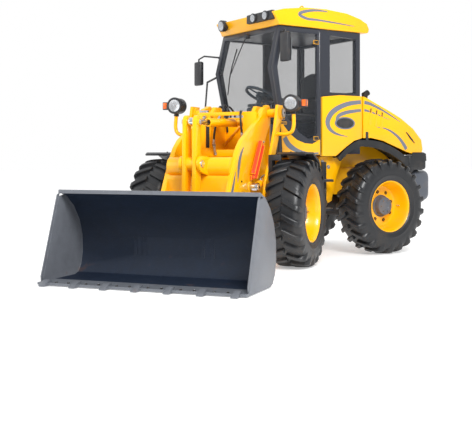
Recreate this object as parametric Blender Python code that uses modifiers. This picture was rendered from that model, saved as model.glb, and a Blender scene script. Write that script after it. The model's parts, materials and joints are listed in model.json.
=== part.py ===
"""Articulated wheel loader with a rocker-type bucket linkage, modelled as separate parts.

Units are metres and +Z is up. The machine faces -Y, so its left side is +X. The rear
frame stands straight. The front frame is drawn straight as well, with its own -Y ahead, and
is then turned about the articulation pins by ARTICULATION_REST. Side outlines list (y, z).
"""

from math import atan2, cos, hypot, pi, radians, sin

import bmesh
import bpy
from mathutils import Matrix, Vector

# Driving dimensions
ARTICULATION_REST = radians(35.76)
TYRE_RADIUS = 0.5375
TYRE_WIDTH = 0.38
HALF_TRACK = 0.73
REAR_AXLE_Y = 1.129
FRONT_AXLE_Y = -1.068
CAB_HALF_WIDTH = 0.56
CAB_WALL = 0.045
CAB_FLOOR_Z = 1.13
CAB_TOP_Z = 2.52
CAB_REAR_Y = 0.97
BODY_HALF_WIDTH = 0.60
HOOD_WALL = 0.03
BUCKET_HALF_WIDTH = 0.95
BUCKET_PLATE = 0.02
GLASS = 0.006
GAP = 0.0003

# Joint places in each frame's own coordinates
BOOM_PIVOT = (-0.83, 1.55)
ROCKER_PIVOT = (-2.00, 1.03)
ROCKER_TOP = (-2.00, 1.42)
ROCKER_FOOT = (-2.05, 0.34)
BUCKET_PIVOT = (-2.17, 0.27)
LINK_PIVOT = (-2.36, 0.45)
TILT_BASE = (-0.90, 1.45)
LIFT_BASE = (-0.50, 0.95)
LIFT_EYE = (-1.38, 0.80)
LIFT_LANE_X = 0.395
STEERING_PIN_X = 0.31
STEERING_PIN_Y = 0.46
STEERING_PIN_Z = 0.65
DOOR_HINGE = (0.590, 0.350)
HOOD_HINGE = (0.998, 1.772)

# Lateral places of the plates of the front linkage: (inner x, outer x)
TOWER_PLATE = (0.21, 0.25)
OUTER_PLATE = (0.463, 0.490)
ARM_PLATE = (0.305, 0.350)
ROCKER_PLATE = (0.033, 0.068)
ROCKER_LUG = (0.075, 0.105)
BUCKET_EARS = ((0.262, 0.298), (0.357, 0.393))

# name: (colour, roughness, metallic)
FINISHES = {
    "yellow paint": ((0.90, 0.52, 0.01), 0.35, 0.0),
    "dark grey paint": ((0.06, 0.065, 0.08), 0.45, 0.0),
    "bucket paint": ((0.13, 0.15, 0.19), 0.5, 0.0),
    "stone grey paint": ((0.16, 0.17, 0.19), 0.45, 0.0),
    "rubber": ((0.012, 0.012, 0.013), 0.8, 0.0),
    "glass": ((0.55, 0.60, 0.62), 0.05, 0.0),
    "bright steel": ((0.75, 0.76, 0.78), 0.2, 1.0),
    "cast iron": ((0.07, 0.07, 0.07), 0.6, 0.3),
    "black plastic": ((0.015, 0.015, 0.017), 0.5, 0.0),
    "seat fabric": ((0.02, 0.02, 0.022), 0.9, 0.0),
}

SIDE_VIEW = Matrix(((0, 0, 1, 0), (1, 0, 0, 0), (0, 1, 0, 0), (0, 0, 0, 1)))
PLAN_VIEW = Matrix.Identity(4)


# ---------------------------------------------------------------- scene and bodies


def clear_scene():
    for obj in list(bpy.data.objects):
        bpy.data.objects.remove(obj, do_unlink=True)
    parts = bpy.data.collections.new("Wheel loader")
    cutters = bpy.data.collections.new("Cutters")
    for collection in (parts, cutters):
        bpy.context.scene.collection.children.link(collection)
    return parts, cutters


PARTS, CUTTERS = clear_scene()


class Body:
    """An empty on a joint's axis. Its pieces are drawn in frame coordinates and moved back by `at`."""

    def __init__(self, name, at=(0, 0, 0), parent=None):
        self.at = Vector(at)
        self.empty = bpy.data.objects.new(name + " axis", None)
        self.empty.empty_display_size = 0.2
        PARTS.objects.link(self.empty)
        if parent:
            self.empty.parent = parent.empty
            self.empty.location = self.at - parent.at

    def take(self, obj):
        """Carry a piece, and the shapes that its Booleans join or cut, on this body."""
        obj.parent = self.empty
        obj.location = -self.at
        for modifier in obj.modifiers:
            if modifier.type == "BOOLEAN":
                self.take(modifier.object)
        return obj


def side(point, x=0.0):
    """A (y, z) point of a side outline, as a 3-D point."""
    return (x, point[0], point[1])


def finish(name):
    material = bpy.data.materials.get(name)
    if material:
        return material
    colour, roughness, metallic = FINISHES[name]
    material = bpy.data.materials.new(name)
    material.use_nodes = True
    shader = material.node_tree.nodes["Principled BSDF"]
    shader.inputs["Base Color"].default_value = (*colour, 1.0)
    shader.inputs["Roughness"].default_value = roughness
    shader.inputs["Metallic"].default_value = metallic
    return material


def part(obj, name, body, finish_name):
    """Make a shape a named sub-part of a body."""
    obj.name = name
    obj.data.name = name
    obj.data.materials.clear()
    obj.data.materials.append(finish(finish_name))
    obj.data.shade_smooth()
    obj.data.set_sharp_from_angle(angle=radians(30))
    return body.take(obj)


# ---------------------------------------------------------------- shapes


def mesh_object(mesh_name, build):
    mesh = bpy.data.meshes.new(mesh_name)
    bm = bmesh.new()
    build(bm)
    bm.to_mesh(mesh)
    bm.free()
    obj = bpy.data.objects.new(mesh_name, mesh)
    PARTS.objects.link(obj)
    return obj


def box(x, y, z, bevel=0.0):
    """A box from its three (low, high) ranges."""
    ranges = (x, y, z)
    size = Matrix.Diagonal([high - low for low, high in ranges] + [1])
    centre = Matrix.Translation([(low + high) / 2 for low, high in ranges])

    def build(bm):
        bmesh.ops.create_cube(bm, size=1.0, matrix=centre @ size)
        if bevel:
            bmesh.ops.bevel(
                bm, geom=list(bm.edges), offset=bevel, segments=2, profile=0.5, affect="EDGES"
            )

    return mesh_object("box", build)


def rod(start, end, radius, sides=16):
    """A solid cylinder between two points."""
    start, end = Vector(start), Vector(end)
    turn = (end - start).to_track_quat("Z", "Y").to_matrix().to_4x4()
    place = Matrix.Translation((start + end) / 2) @ turn

    def build(bm):
        bmesh.ops.create_cone(
            bm, cap_ends=True, segments=sides, radius1=radius, radius2=radius,
            depth=(end - start).length, matrix=place,
        )

    return mesh_object("rod", build)


def plate(outline, low, high, view=SIDE_VIEW):
    """A flat outline extruded from low to high: along X in side view, along Z in plan view."""
    curve = bpy.data.curves.new("outline", "CURVE")
    curve.dimensions = "2D"
    curve.fill_mode = "BOTH"
    curve.extrude = (high - low) / 2
    spline = curve.splines.new("POLY")
    spline.points.add(len(outline) - 1)
    for point, (u, v) in zip(spline.points, outline):
        point.co = (u, v, 0, 1)
    spline.use_cyclic_u = True
    guide = bpy.data.objects.new("outline", curve)
    PARTS.objects.link(guide)
    bpy.context.view_layer.update()
    graph = bpy.context.evaluated_depsgraph_get()
    mesh = bpy.data.meshes.new_from_object(guide.evaluated_get(graph))
    bpy.data.objects.remove(guide)
    bm = bmesh.new()
    bm.from_mesh(mesh)
    bmesh.ops.remove_doubles(bm, verts=bm.verts, dist=0.00001)
    bmesh.ops.transform(bm, verts=bm.verts, matrix=view @ Matrix.Translation((0, 0, (low + high) / 2)))
    bmesh.ops.recalc_face_normals(bm, faces=bm.faces)
    bm.to_mesh(mesh)
    bm.free()
    obj = bpy.data.objects.new("plate", mesh)
    PARTS.objects.link(obj)
    return obj


def tube(points, radius, sides=2):
    """A round bar along a polyline, as a mesh."""
    curve = bpy.data.curves.new("bar", "CURVE")
    curve.dimensions = "3D"
    curve.bevel_depth = radius
    curve.bevel_resolution = sides
    curve.use_fill_caps = True
    spline = curve.splines.new("POLY")
    spline.points.add(len(points) - 1)
    for point, place in zip(spline.points, points):
        point.co = (*place, 1)
    guide = bpy.data.objects.new("bar", curve)
    PARTS.objects.link(guide)
    bpy.context.view_layer.update()
    graph = bpy.context.evaluated_depsgraph_get()
    mesh = bpy.data.meshes.new_from_object(guide.evaluated_get(graph))
    bpy.data.objects.remove(guide)
    bm = bmesh.new()
    bm.from_mesh(mesh)
    bmesh.ops.remove_doubles(bm, verts=bm.verts, dist=0.00001)
    bmesh.ops.recalc_face_normals(bm, faces=bm.faces)
    bm.to_mesh(mesh)
    bm.free()
    obj = bpy.data.objects.new("bar", mesh)
    PARTS.objects.link(obj)
    return obj


def turned(profile, closed, steps):
    """A profile of (radius, axial) points turned about Z. It runs down its outer side."""

    def build(bm):
        points = [bm.verts.new((radius, 0, axial)) for radius, axial in profile]
        for a, b in zip(points, points[1:]):
            bm.edges.new((a, b))
        if closed:
            bm.edges.new((points[-1], points[0]))

    obj = mesh_object("turned", build)
    screw = obj.modifiers.new("Screw", "SCREW")
    screw.steps = screw.render_steps = steps
    screw.use_merge_vertices = True
    screw.merge_threshold = 0.0001
    return obj


def combine(base, pieces, operation):
    for piece in pieces:
        piece.hide_render = True
        piece.display_type = "WIRE"
        for collection in list(piece.users_collection):
            collection.objects.unlink(piece)
        CUTTERS.objects.link(piece)
        modifier = base.modifiers.new(operation.title(), "BOOLEAN")
        modifier.operation = operation
        modifier.solver = "EXACT"
        modifier.object = piece
    return base


def join(base, *pieces):
    return combine(base, pieces, "UNION")


def cut(base, *pieces):
    return combine(base, pieces, "DIFFERENCE")


def arc(centre, radius, start, end, steps=6):
    """Points of an arc, from start to end degrees, counter-clockwise when end is larger."""
    angles = [radians(start + (end - start) * i / steps) for i in range(steps + 1)]
    return [(centre[0] + radius * cos(a), centre[1] + radius * sin(a)) for a in angles]


def capsule(a, radius_a, b, radius_b, steps=8):
    """The outline of a link: two eyes and the straight sides between them."""
    angle = 180 / pi * atan2(b[1] - a[1], b[0] - a[0])
    return arc(a, radius_a, angle + 90, angle + 270, steps) + arc(b, radius_b, angle - 90, angle + 90, steps)


def inset(outline, by):
    """An outline with each of its edges moved inwards by a distance."""
    points = [Vector(p) for p in outline]
    area = sum(a.cross(b) for a, b in zip(points, points[1:] + points[:1]))
    inward = 1 if area > 0 else -1
    moved = []
    for i, here in enumerate(points):
        before = (here - points[i - 1]).normalized()
        after = (points[(i + 1) % len(points)] - here).normalized()
        normals = [inward * Vector((-edge.y, edge.x)) for edge in (before, after)]
        middle = (normals[0] + normals[1]).normalized()
        moved.append(tuple(here + middle * by / middle.dot(normals[0])))
    return moved


def both_sides(ranges):
    """(low, high) on the left and its mirror image on the right."""
    return (ranges, (-ranges[1], -ranges[0]))


# ---------------------------------------------------------------- wheels and axles


def wheel(name, body, x_sign, axle_y):
    """A tyre and its rim on a body whose origin is the wheel's centre."""
    half = TYRE_WIDTH / 2
    bead = 0.2735
    shoulder = TYRE_RADIUS - 0.0375
    tyre_profile = (
        (bead, half - 0.040), (0.295, half - 0.018), (0.33, half - 0.008), (0.43, half),
        (shoulder, half - 0.015), (TYRE_RADIUS, half - 0.050),
        (TYRE_RADIUS, 0.050 - half), (shoulder, 0.015 - half),
        (0.43, -half), (0.33, 0.008 - half), (0.295, 0.018 - half), (bead, 0.040 - half),
    )
    rim_profile = (
        (0.0, 0.07), (0.11, 0.07), (0.125, 0.06), (0.20, 0.045), (0.245, 0.07), (0.262, 0.17),
        (0.287, 0.17), (0.272, 0.155), (0.272, -0.155), (0.287, -0.17), (0.262, -0.17),
        (0.255, -0.03), (0.12, 0.01), (0.0, 0.01),
    )
    turn = Matrix.Rotation(radians(90 * x_sign), 4, "Y")
    centre = Vector((x_sign * HALF_TRACK, axle_y, TYRE_RADIUS))
    for kind, profile, closed, steps, finish_name in (
        ("tyre", tyre_profile, True, 30, "rubber"),
        ("rim", rim_profile, False, 20, "yellow paint"),
    ):
        piece = turned(profile, closed, steps)
        part(piece, f"{kind}_{name}", body, finish_name)
        piece.matrix_local = Matrix.Translation(centre - body.at) @ turn


def axle(name, body, axle_y, pad_x, pad_top):
    """A straight housing with a differential bulge, hub ends and two pads under the frame."""
    end = HALF_TRACK + 0.01 - GAP
    low = TYRE_RADIUS
    housing = rod((-0.56, axle_y, low), (0.56, axle_y, low), 0.085)
    pieces = [
        rod((-0.15, axle_y, low), (0.15, axle_y, low), 0.155, 20),
        rod((-end, axle_y, low), (end, axle_y, low), 0.06),
    ]
    for x in both_sides((0.46, 0.585)):
        pieces.append(rod((x[0], axle_y, low), (x[1], axle_y, low), 0.13, 20))
    for x in both_sides(pad_x):
        pieces.append(box(x, (axle_y - 0.08, axle_y + 0.08), (low, pad_top - GAP)))
    part(join(housing, *pieces), name, body, "cast iron")


# ---------------------------------------------------------------- rear frame


def lug(sign):
    """Plan outline of an articulation lug: round at the pin, wide where it joins its frame."""
    return arc((0, 0), 0.11, 180, 360 if sign > 0 else 0, 10) + [(0.20, sign * 0.51), (-0.20, sign * 0.51)]


def rear_chassis(body):
    frame = box((-0.275, 0.275), (0.50, 0.56), (0.44, 1.00))
    pieces = [box((-0.275, 0.275), (1.74, 1.80), (0.66, 1.00))]
    for x in both_sides((0.235, 0.275)):
        pieces.append(box(x, (0.50, 1.80), (0.66, 1.00)))
        for y in (0.62, 0.90):
            pieces.append(box((x[0], x[1]), (y - 0.05, y + 0.05), (0.98, CAB_FLOOR_Z - GAP)))
    for z in ((0.47, 0.51), (0.79, 0.83)):
        pieces.append(plate(lug(1), *z, PLAN_VIEW))
    pieces.append(rod((0, 0, 0.395), (0, 0, 0.49), 0.038))
    pieces.append(rod((0, 0, 0.81), (0, 0, 0.905), 0.038))
    for z in ((0.595, 0.618), (0.682, 0.705)):
        pieces.append(box((0.255, 0.35), (0.42, 0.52), z))
    pieces.append(rod((STEERING_PIN_X, STEERING_PIN_Y, 0.60), (STEERING_PIN_X, STEERING_PIN_Y, 0.70), 0.018, 12))
    skirt = (
        (0.42, 1.10), (0.42, 0.60), (0.45, 0.42), (0.50, 0.42), (0.53, 0.57), (0.60, 0.60),
        (0.66, 0.85), (0.74, 1.04), (0.74, 1.10),
    )
    for x in both_sides((0.465, 0.50)):
        pieces.append(plate(skirt, *x))
    for x in both_sides((0.26, 0.48)):
        pieces.append(box(x, (0.52, 0.59), (0.64, 0.98)))
    part(join(frame, *pieces), "rear_chassis", body, "yellow paint")


def counterweight(body):
    block = box((-0.56, 0.56), (1.80 + GAP, 2.12), (0.56, 0.94), 0.06)
    part(block, "counterweight", body, "stone grey paint")


def rear_bumper(body):
    outline = (
        (-0.60, 1.66), (-0.40, 1.66), (-0.40, 1.82), (0.40, 1.82), (0.40, 1.66), (0.60, 1.66),
        (0.60, 1.93), (0.57, 1.96), (-0.57, 1.96), (-0.60, 1.93),
    )
    part(plate(outline, 0.94 + GAP, 1.112, PLAN_VIEW), "rear_bumper", body, "rubber")


def engine(body):
    part(box((-0.22, 0.22), (1.10, 1.70), (0.72, 1.38)), "engine_block", body, "cast iron")


def side_panels(body):
    outline = (
        (0.385, 1.105), (0.58, 1.105), (0.74, 1.215), (0.85, 1.28), (0.965, 1.31),
        (0.965, 1.79), (0.64, 1.79), (0.385, 1.765),
    )
    for name, x in zip(("left", "right"), both_sides((CAB_HALF_WIDTH + GAP, BODY_HALF_WIDTH))):
        part(plate(outline, *x), f"side_panel_{name}", body, "yellow paint")


def hood(body):
    """The engine cover: a shell open in front and below, with the wheel arches in its lower edge."""
    outline = (
        (0.985, 1.312), (1.11, 1.315), (1.29, 1.285), (1.51, 1.21), (1.66, 1.16), (1.80, 1.125), (1.91, 1.12),
        (1.93, 1.19), (1.91, 1.30), (1.77, 1.435), (1.57, 1.555), (1.39, 1.635), (1.15, 1.73), (1.04, 1.775),
        (0.985, 1.79),
    )
    roof = [(y, z - HOOD_WALL) for y, z in outline[8:]]
    hollow = [(0.90, 1.00), (1.90, 1.00), (1.90, 1.19)] + roof + [(0.90, 1.76)]
    shell = plate(outline, -BODY_HALF_WIDTH, BODY_HALF_WIDTH)
    wall = BODY_HALF_WIDTH - HOOD_WALL
    part(cut(shell, plate(hollow, -wall, wall)), "hood", body, "yellow paint")
    stub = join(
        rod((0.47, 1.12, 1.762), (0.47, 1.12, 1.83), 0.035, 14),
        rod((0.47, 1.105, 1.815), (0.47, 1.17, 1.85), 0.034, 14),
    )
    part(stub, "exhaust_tip", body, "stone grey paint")


# ---------------------------------------------------------------- cab

CAB_SIDE = (
    (-0.20, CAB_FLOOR_Z), (-0.20, 1.66), (-0.29, 2.07), (-0.18, CAB_TOP_Z),
    (CAB_REAR_Y, CAB_TOP_Z), (CAB_REAR_Y, CAB_FLOOR_Z),
)
DOORWAY = ((-0.13, 1.18), (-0.13, 1.67), (-0.21, 2.07), (-0.11, 2.46), (0.385, 2.46), (0.385, 1.18))
SIDE_WINDOW = ((-0.13, 1.45), (-0.13, 1.67), (-0.21, 2.07), (-0.11, 2.46), (0.385, 2.46), (0.385, 1.45))
REAR_SIDE_WINDOW = ((0.525, 1.82), (0.525, 2.46), (0.91, 2.44), (0.91, 1.82))
DOOR_WINDOW = (
    (-0.155, 1.56), (-0.165, 1.64), (-0.235, 2.06), (-0.150, 2.45), (0.305, 2.45), (0.305, 1.36),
    (0.27, 1.31), (0.19, 1.29), (0.06, 1.36), (-0.06, 1.48),
)


def cab_frame(body):
    """A hollow box of pillars, sills and rails, with its windows and doorway cut through."""
    w, t = CAB_HALF_WIDTH, CAB_WALL
    hollow = (
        (-0.20 + t, CAB_FLOOR_Z + t), (-0.20 + t, 1.66), (-0.29 + t, 2.07), (-0.19 + t, CAB_TOP_Z - t),
        (CAB_REAR_Y - t, CAB_TOP_Z - t), (CAB_REAR_Y - t, CAB_FLOOR_Z + t),
    )
    cutters = [
        plate(hollow, t - w, w - t),
        box((-0.50, 0.50), (-0.40, -0.09), (1.45, 2.455)),
        box((-0.48, 0.48), (CAB_REAR_Y - 0.08, CAB_REAR_Y + 0.05), (1.84, 2.44)),
        plate(DOORWAY, w - 0.10, w + 0.05),
        plate(REAR_SIDE_WINDOW, w - 0.10, w + 0.05),
        plate(SIDE_WINDOW, -w - 0.05, 0.10 - w),
        plate(REAR_SIDE_WINDOW, -w - 0.05, 0.10 - w),
    ]
    shell = cut(plate(CAB_SIDE, -w, w), *cutters)
    pedestal = box((-0.20, 0.20), (0.32, 0.66), (CAB_FLOOR_Z + t - 0.01, 1.48))
    part(join(shell, pedestal), "cab_frame", body, "dark grey paint")


def cab_glass(body):
    outer = [(-0.188, 1.452), (-0.188, 1.66), (-0.278, 2.07), (-0.186, 2.453)]
    screen = outer + [(y + GLASS, z) for y, z in reversed(outer)]
    part(plate(screen, -0.499, 0.499), "windscreen", body, "glass")
    rear = box((-0.479, 0.479), (CAB_REAR_Y - 0.025, CAB_REAR_Y - 0.025 + GLASS), (1.841, 2.439))
    part(rear, "rear_window", body, "glass")
    low, high = CAB_HALF_WIDTH - 0.022, CAB_HALF_WIDTH - 0.022 + GLASS
    for name, outline, x in (
        ("side_window_left", REAR_SIDE_WINDOW, (low, high)),
        ("side_window_right_rear", REAR_SIDE_WINDOW, (-high, -low)),
        ("side_window_right_front", SIDE_WINDOW, (-high, -low)),
    ):
        part(plate(inset(outline, 0.001), *x), name, body, "glass")


def cab_roof(body):
    outline = (
        (-0.19, CAB_TOP_Z + GAP), (-0.20, 2.55), (-0.27, 2.66), (-0.12, 2.70), (0.15, 2.735), (0.45, 2.745),
        (0.75, 2.725), (0.95, 2.68), (1.06, 2.63), (1.09, 2.57), (1.08, 2.53), (1.05, CAB_TOP_Z + GAP),
    )
    cap = plate(outline, -0.585, 0.585)
    bevel = cap.modifiers.new("Bevel", "BEVEL")
    bevel.width = 0.03
    bevel.segments = 2
    bevel.limit_method = "ANGLE"
    bevel.angle_limit = radians(60)
    part(cap, "cab_roof", body, "yellow paint")


def door(body):
    outline = (
        (-0.21, 1.112), (-0.21, 1.64), (-0.29, 2.06), (-0.20, 2.495), (0.335, 2.495), (0.335, 1.112),
    )
    x = (0.570, 0.606)
    hinge_bar = rod((*DOOR_HINGE, 1.13), (*DOOR_HINGE, 2.48), 0.018, 16)
    arms = [box((0.575, 0.601), (0.31, 0.355), (z, z + 0.05)) for z in (1.22, 1.75, 2.38)]
    panel = cut(plate(outline, *x), plate(DOOR_WINDOW, x[0] - 0.05, x[1] + 0.05))
    part(join(panel, *arms, hinge_bar), "door_left", body, "dark grey paint")
    part(plate(inset(DOOR_WINDOW, 0.001), 0.584, 0.584 + GLASS), "door_glass", body, "glass")
    arm = tube([(0.6065, -0.19, 2.44), (0.66, -0.19, 2.44), (0.70, -0.20, 2.46), (0.72, -0.20, 2.40)], 0.010)
    head = box((0.66, 0.80), (-0.245, -0.195), (2.11, 2.42), 0.015)
    part(join(head, arm), "mirror_left", body, "black plastic")


def seat(body):
    cushion = box((-0.25, 0.25), (0.26, 0.72), (1.48 + GAP, 1.60), 0.035)
    back = box((-0.23, 0.23), (0.66, 0.80), (1.52, 2.12), 0.04)
    part(join(cushion, back), "seat", body, "seat fabric")


def steering_column(body):
    top = Vector((0, -0.03, 1.80))
    tilt = Matrix.Translation(top) @ Matrix.Rotation(radians(-28), 4, "X")

    def wheel_rim(bm):
        bmesh.ops.create_cone(
            bm, cap_ends=True, segments=28, radius1=0.19, radius2=0.19, depth=0.026, matrix=tilt
        )

    rim = mesh_object("steering wheel", wheel_rim)
    hole = rod(tilt @ Vector((0, 0, -0.05)), tilt @ Vector((0, 0, 0.05)), 0.165, 28)
    hub = rod(tilt @ Vector((0, 0, -0.03)), tilt @ Vector((0, 0, 0.02)), 0.05, 20)
    spokes = [
        rod(tilt @ Vector((0.03 * cos(a), 0.03 * sin(a), 0)), tilt @ Vector((0.178 * cos(a), 0.178 * sin(a), 0)), 0.009, 8)
        for a in (radians(20), radians(140), radians(260))
    ]
    console = box((-0.13, 0.13), (-0.145, -0.03), (CAB_FLOOR_Z + CAB_WALL + GAP, 1.66), 0.02)
    column = rod((0, -0.09, 1.60), top, 0.028, 14)
    part(join(cut(rim, hole), hub, *spokes, column, console), "steering_column", body, "dark grey paint")


def cab_outside(body):
    arm = tube(
        [(-0.575, -0.215, 2.27), (-0.70, -0.36, 2.29), (-0.79, -0.38, 2.26), (-0.80, -0.38, 2.15)], 0.010
    )
    head = box((-0.87, -0.73), (-0.40, -0.35), (1.95, 2.23), 0.015)
    foot = rod((-CAB_HALF_WIDTH - GAP, -0.215, 2.27), (-0.60, -0.215, 2.27), 0.016, 10)
    part(join(head, arm, foot), "mirror_right", body, "black plastic")
    rail = tube(
        [
            (-CAB_HALF_WIDTH - 0.001, -0.22, 2.05), (-0.60, -0.22, 2.05), (-0.67, -0.335, 1.98),
            (-0.685, -0.355, 1.66), (-0.60, -0.17, 1.58), (-CAB_HALF_WIDTH - 0.001, -0.17, 1.58),
        ],
        0.013,
    )
    part(rail, "grab_rail_right", body, "black plastic")
    treads = [box((0.50 + GAP, 0.66), (0.34, 0.50), (z, z + 0.025)) for z in (0.50, 0.82)]
    hanger = box((0.50 + GAP, 0.53), (0.44, 0.50), (0.46, 1.04))
    part(join(hanger, *treads), "steps_left", body, "black plastic")


# ---------------------------------------------------------------- front frame


def front_chassis(body):
    tower = (
        (-0.40, 0.410), (-0.40, 0.90), (-0.57, 1.35), (-0.66, 1.52), (-0.75, 1.62), (-0.90, 1.62),
        (-0.96, 1.57), (-1.04, 1.45), (-1.05, 1.02), (-1.28, 0.80), (-1.28, 0.70), (-0.92, 0.70), (-0.86, 0.410),
    )
    outer = (
        (-0.74, 1.63), (-0.93, 1.63), (-1.02, 1.37), (-1.31, 0.84), (-1.35, 0.66), (-1.12, 0.66),
        (-1.18, 0.84), (-0.86, 1.37),
    )
    base = box((-0.235, 0.235), (-0.45, -0.41), (0.405, 0.893))
    pieces = [
        box((-0.475, 0.475), (-1.295, -1.15), (0.67, 0.73)),
        box((-0.23, 0.23), (-1.05, -1.01), (0.70, 1.15)),
        box((-0.23, 0.23), (-0.62, -0.55), (0.70, 0.80)),
        rod((-0.22, *TILT_BASE), (0.22, *TILT_BASE), 0.030, 16),
    ]
    for z in ((0.415, 0.455), (0.845, 0.885)):
        pieces.append(plate(lug(-1), *z, PLAN_VIEW))
    for x in both_sides(TOWER_PLATE):
        pieces.append(plate(tower, *x))
    for x in both_sides(OUTER_PLATE):
        pieces.append(plate(outer, *x))
    for x in both_sides((0.22, 0.500)):
        pieces.append(rod(side(BOOM_PIVOT, x[0]), side(BOOM_PIVOT, x[1]), 0.045, 20))
    for x in both_sides((0.455, 0.512)):
        pieces.append(rod(side(BOOM_PIVOT, x[0]), side(BOOM_PIVOT, x[1]), 0.072, 22))
    for x in both_sides((0.24, 0.354)):
        pieces.append(rod(side(LIFT_BASE, x[0]), side(LIFT_BASE, x[1]), 0.058, 16))
    for x in both_sides((0.24, 0.440)):
        pieces.append(rod(side(LIFT_BASE, x[0]), side(LIFT_BASE, x[1]), 0.026, 16))
    for z in ((0.595, 0.618), (0.682, 0.705)):
        pieces.append(box((0.23, 0.35), (-0.50, -0.42), z))
    frame = join(base, *pieces)
    bores = [rod((0, 0, z - 0.05), (0, 0, z + 0.05), 0.043, 20) for z in (0.435, 0.865)]
    part(cut(frame, *bores), "front_chassis", body, "yellow paint")


def fenders(body):
    outer = ((-1.24, 1.125), (-1.20, 1.143), (-0.95, 1.143), (-0.72, 1.055), (-0.50, 0.735))
    strip = list(outer) + [(y - 0.018, z - 0.02) for y, z in reversed(outer[1:])] + [(-1.23, 1.108)]
    for name, sign in (("left", 1), ("right", -1)):
        low, high = sorted((sign * 0.58, sign * 0.87))
        mount = box(
            tuple(sorted((sign * 0.495, sign * 0.62))), (-1.24, -1.20), (1.06, 1.118)
        )
        stay = box(tuple(sorted((sign * (0.49 + GAP), sign * 0.53))), (-1.24, -1.14), (0.90, 1.115))
        part(join(plate(strip, low, high), mount, stay), f"fender_{name}", body, "black plastic")


def headlights(body):
    for name, sign in (("left", 1), ("right", -1)):
        bar = tube(
            [
                (sign * (0.49 + GAP), -0.94, 1.33), (sign * 0.60, -0.94, 1.33), (sign * 0.645, -0.94, 1.36),
                (sign * 0.66, -0.94, 1.42), (sign * 0.655, -0.93, 1.56),
            ],
            0.018,
        )
        housing = rod((sign * 0.645, -1.00, 1.64), (sign * 0.645, -0.87, 1.64), 0.085, 24)
        indicator = box(
            tuple(sorted((sign * 0.70, sign * 0.80))), (-0.965, -0.915), (1.60, 1.68)
        )
        part(join(housing, bar, indicator), f"headlight_{name}", body, "black plastic")


# ---------------------------------------------------------------- boom and bucket

ARM_OUTLINE = (
    arc(BOOM_PIVOT, 0.085, 30, 130, 5)
    + [
        (-0.97, 1.60), (-1.06, 1.50), (-1.36, 1.36), (-1.58, 1.26), (-1.68, 1.18), (-1.77, 1.06), (-1.94, 0.76),
        (-2.12, 0.50), (-2.25, 0.33),
    ]
    + arc(BUCKET_PIVOT, 0.08, 200, 290, 4)
    + [(-1.99, 0.38), (-1.80, 0.62), (-1.68, 0.735), (-1.58, 0.765)]
    + arc(LIFT_EYE, 0.075, 225, 330, 5)
    + [(-1.28, 0.90), (-0.94, 1.25), (-0.78, 1.44)]
)


def boom(body):
    """Two arms, the tube and the upper box that join them, and the lugs that carry the rocker."""
    upper_plate = cut(
        box((-0.32, 0.32), (-1.125, -1.095), (1.10, 1.555)),
        box((-0.18, 0.18), (-1.20, -1.00), (1.17, 1.52)),
    )
    arms = [plate(ARM_OUTLINE, *x) for x in both_sides(ARM_PLATE)]
    beam = box((-0.31, 0.31), (-1.120, -1.03), (1.525, 1.550))
    tube_axis = (-1.78, 1.00)
    torque_tube = rod(side(tube_axis, -0.32), side(tube_axis, 0.32), 0.095, 24)
    cross_plate = box((-0.32, 0.32), (-1.87, -1.83), (0.66, 0.92))
    lug_outline = [(-1.78, 1.09), (-1.98, 1.105)] + arc(ROCKER_PIVOT, 0.075, 100, 250, 6) + [(-1.80, 0.91)]
    lugs = [plate(lug_outline, *x) for x in both_sides(ROCKER_LUG)]
    whole = join(torque_tube, *arms, upper_plate, beam, cross_plate, *lugs)
    bores = [
        rod(side(BOOM_PIVOT, -0.40), side(BOOM_PIVOT, 0.40), 0.047, 20),
        rod(side(ROCKER_PIVOT, -0.15), side(ROCKER_PIVOT, 0.15), 0.037, 20),
        rod(side(BUCKET_PIVOT, -0.40), side(BUCKET_PIVOT, 0.40), 0.034, 20),
    ]
    part(cut(whole, *bores), "boom", body, "yellow paint")


def rocker(body):
    outline = (
        arc(ROCKER_TOP, 0.062, 0, 180, 8)
        + arc(ROCKER_PIVOT, 0.075, 160, 200, 3)
        + arc(ROCKER_FOOT, 0.045, 180, 360, 6)
        + arc(ROCKER_PIVOT, 0.075, -20, 20, 3)
    )
    boss = rod(side(ROCKER_PIVOT, -0.072), side(ROCKER_PIVOT, 0.072), 0.062, 24)
    plates = [plate(outline, *x) for x in both_sides(ROCKER_PLATE)]
    caps = [
        rod(side(ROCKER_TOP, x[0]), side(ROCKER_TOP, x[1]), 0.034, 14) for x in both_sides((0.05, 0.084))
    ]
    bore = rod(side(ROCKER_PIVOT, -0.1), side(ROCKER_PIVOT, 0.1), 0.037, 20)
    part(cut(join(boss, *plates, *caps), bore), "rocker", body, "yellow paint")


def pin(name, body, place, half_length, radius):
    part(rod(side(place, -half_length), side(place, half_length), radius), name, body, "bright steel")


def tilt_link(body):
    bar = plate(capsule(ROCKER_FOOT, 0.038, LINK_PIVOT, 0.038), -0.028, 0.028)
    cross_pin = rod(side(LINK_PIVOT, -0.112), side(LINK_PIVOT, 0.112), 0.022, 16)
    part(join(bar, cross_pin), "tilt_link", body, "yellow paint")


def bucket_curve(thickness):
    """The back and floor of the bucket in side view, from its top edge to its lip, offset inwards."""
    curve = [
        (-2.755, 0.805), (-2.66, 0.765), (-2.53, 0.665), (-2.43, 0.53), (-2.38, 0.38), (-2.375, 0.22),
        (-2.405, 0.10), (-2.46, 0.03), (-2.53, 0.010), (-3.03, 0.010),
    ]
    points = [Vector(p) for p in curve]
    moved = []
    for i, here in enumerate(points):
        before = points[max(i - 1, 0)]
        after = points[min(i + 1, len(points) - 1)]
        along = (after - before).normalized()
        moved.append(tuple(here + thickness * Vector((along.y, -along.x)) * -1))
    return [tuple(p) for p in points], moved


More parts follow.
